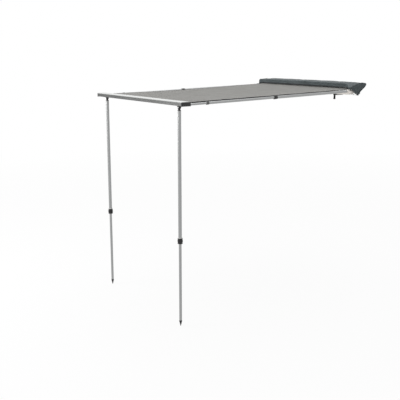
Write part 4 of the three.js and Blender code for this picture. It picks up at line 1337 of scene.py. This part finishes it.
class AWNING_OT_stage(bpy.types.Operator):
    """White floor and sky, soft lights and the camera"""
    bl_idname = "awning.stage"
    bl_label = "Stage"

    def execute(self, context):
        scene = context.scene
        settings = scene.awning_stage
        self.camera(scene)
        self.floor(settings.floor_size / 2)
        self.world(scene, settings)
        self.area("key_light", (0.2, -0.9, 4.2), (0.8, 0.0, 0.0), 4.2, settings.key_power)
        self.area("side_light", (6.2, -2.6, 0.9), (1.8, 0.0, -0.5), 2.8, settings.side_power)
        scene.view_settings.view_transform = "Standard"
        return {"FINISHED"}

    @staticmethod
    def camera(scene):
        camera = new_object("camera", with_values(
            bpy.data.cameras.new("camera"), lens=CAMERA_LENS, sensor_width=CAMERA_SENSOR))
        turn = Matrix([Vector(axis) for axis in CAMERA_AXES]).transposed().to_4x4()
        camera.matrix_world = Matrix.Translation(CAMERA_PLACE) @ turn
        scene.camera = camera

    @staticmethod
    def seen(tree):
        """1 for rays that show the background: from the camera, or mirrored or bent on the way."""
        path = add_node(tree, "ShaderNodeLightPath").outputs
        return chain(tree, path["Is Camera Ray"], ("MAXIMUM", path["Is Glossy Ray"]),
                     ("MAXIMUM", path["Is Transmission Ray"]))

    def floor(self, half):
        """Seen as near white, with a trace of shadow by the awning, and as pure white far off."""
        corners = ((-half, -half), (half, -half), (half, half), (-half, half))
        mesh = plain_mesh("floor", [(x, y, GROUND) for x, y in corners], [(0, 1, 2, 3)])
        material = "white floor"
        _, tree, _ = start_material(material, Roughness=0.9, Base_Color=(0.90, 0.90, 0.90, 1.0))
        white = add_node(tree, "ShaderNodeEmission", {"Color": WHITE, "Strength": 1.0})
        away = add_node(tree, "ShaderNodeVectorMath", {0: object_place(tree)},
                        operation="LENGTH").outputs["Value"]
        share = add_node(tree, "ShaderNodeMapRange", {
            0: away, 1: FLOOR_FADE[0], 2: FLOOR_FADE[1], 3: FLOOR_SHARE, 4: 1.0}).outputs[0]
        mixed = add_node(tree, "ShaderNodeMixShader", {
            0: chain(tree, self.seen(tree), ("MULTIPLY", share)),
            1: tree.nodes["Principled BSDF"].outputs[0], 2: white.outputs[0]})
        tree.links.new(mixed.outputs[0], tree.nodes["Material Output"].inputs["Surface"])
        link_piece("floor", mesh, material)

    def world(self, scene, settings):
        world = bpy.data.worlds.new("studio")
        world.use_nodes = True
        tree = world.node_tree
        tree.nodes.clear()
        sky, white = (add_node(tree, "ShaderNodeBackground", {
            "Color": WHITE, "Strength": strength}).outputs[0]
            for strength in (settings.sky_strength, 1.0))
        mixed = add_node(tree, "ShaderNodeMixShader", {0: self.seen(tree), 1: sky, 2: white})
        out = tree.nodes.new("ShaderNodeOutputWorld")
        tree.links.new(mixed.outputs[0], out.inputs["Surface"])
        scene.world = world

    @staticmethod
    def area(name, place, target, size, energy):
        """Soft square light at a place, turned to its target."""
        data = with_values(bpy.data.lights.new(name, "AREA"), size=size, energy=energy)
        aim = Vector(target) - Vector(place)
        with_values(new_object(name, data), location=place, visible_camera=False,
                    rotation_euler=aim.to_track_quat("-Z", "Y").to_euler())


class AWNING_PT_panel(bpy.types.Panel):
    """Settings and pieces of the side awning"""
    bl_idname = "AWNING_PT_panel"
    bl_label = "Side Awning"
    bl_space_type = "VIEW_3D"
    bl_region_type = "UI"
    bl_category = "Awning"

    def draw(self, context):
        for group in SETTINGS:
            box = self.layout.box()
            settings = getattr(context.scene, group)
            for key in settings.__annotations__:
                box.prop(settings, key)
        column = self.layout.column(align=True)
        for operator in OPERATORS:
            column.operator(operator.bl_idname)


SETTINGS = {
    "awning_cloth": AwningClothSettings,
    "awning_metal": AwningMetalSettings,
    "awning_trim": AwningTrimSettings,
    "awning_stage": AwningStageSettings,
}
OPERATORS = (AWNING_OT_plate, AWNING_OT_brackets, AWNING_OT_canopy, AWNING_OT_cover,
             AWNING_OT_straps, AWNING_OT_rail, AWNING_OT_arms, AWNING_OT_legs, AWNING_OT_stage)


def register():
    for group, kind in SETTINGS.items():
        bpy.utils.register_class(kind)
        setattr(bpy.types.Scene, group, PointerProperty(type=kind))
    for kind in (*OPERATORS, AWNING_PT_panel):
        bpy.utils.register_class(kind)


def unregister():
    for kind in (AWNING_PT_panel, *reversed(OPERATORS)):
        bpy.utils.unregister_class(kind)
    for group, kind in reversed(SETTINGS.items()):
        delattr(bpy.types.Scene, group)
        bpy.utils.unregister_class(kind)


def main():
    register()
    for name in ("plate", "brackets", "canopy", "cover", "straps", "rail", "arms", "legs", "stage"):
        getattr(bpy.ops.awning, name)()


if __name__ == "__main__":
    main()
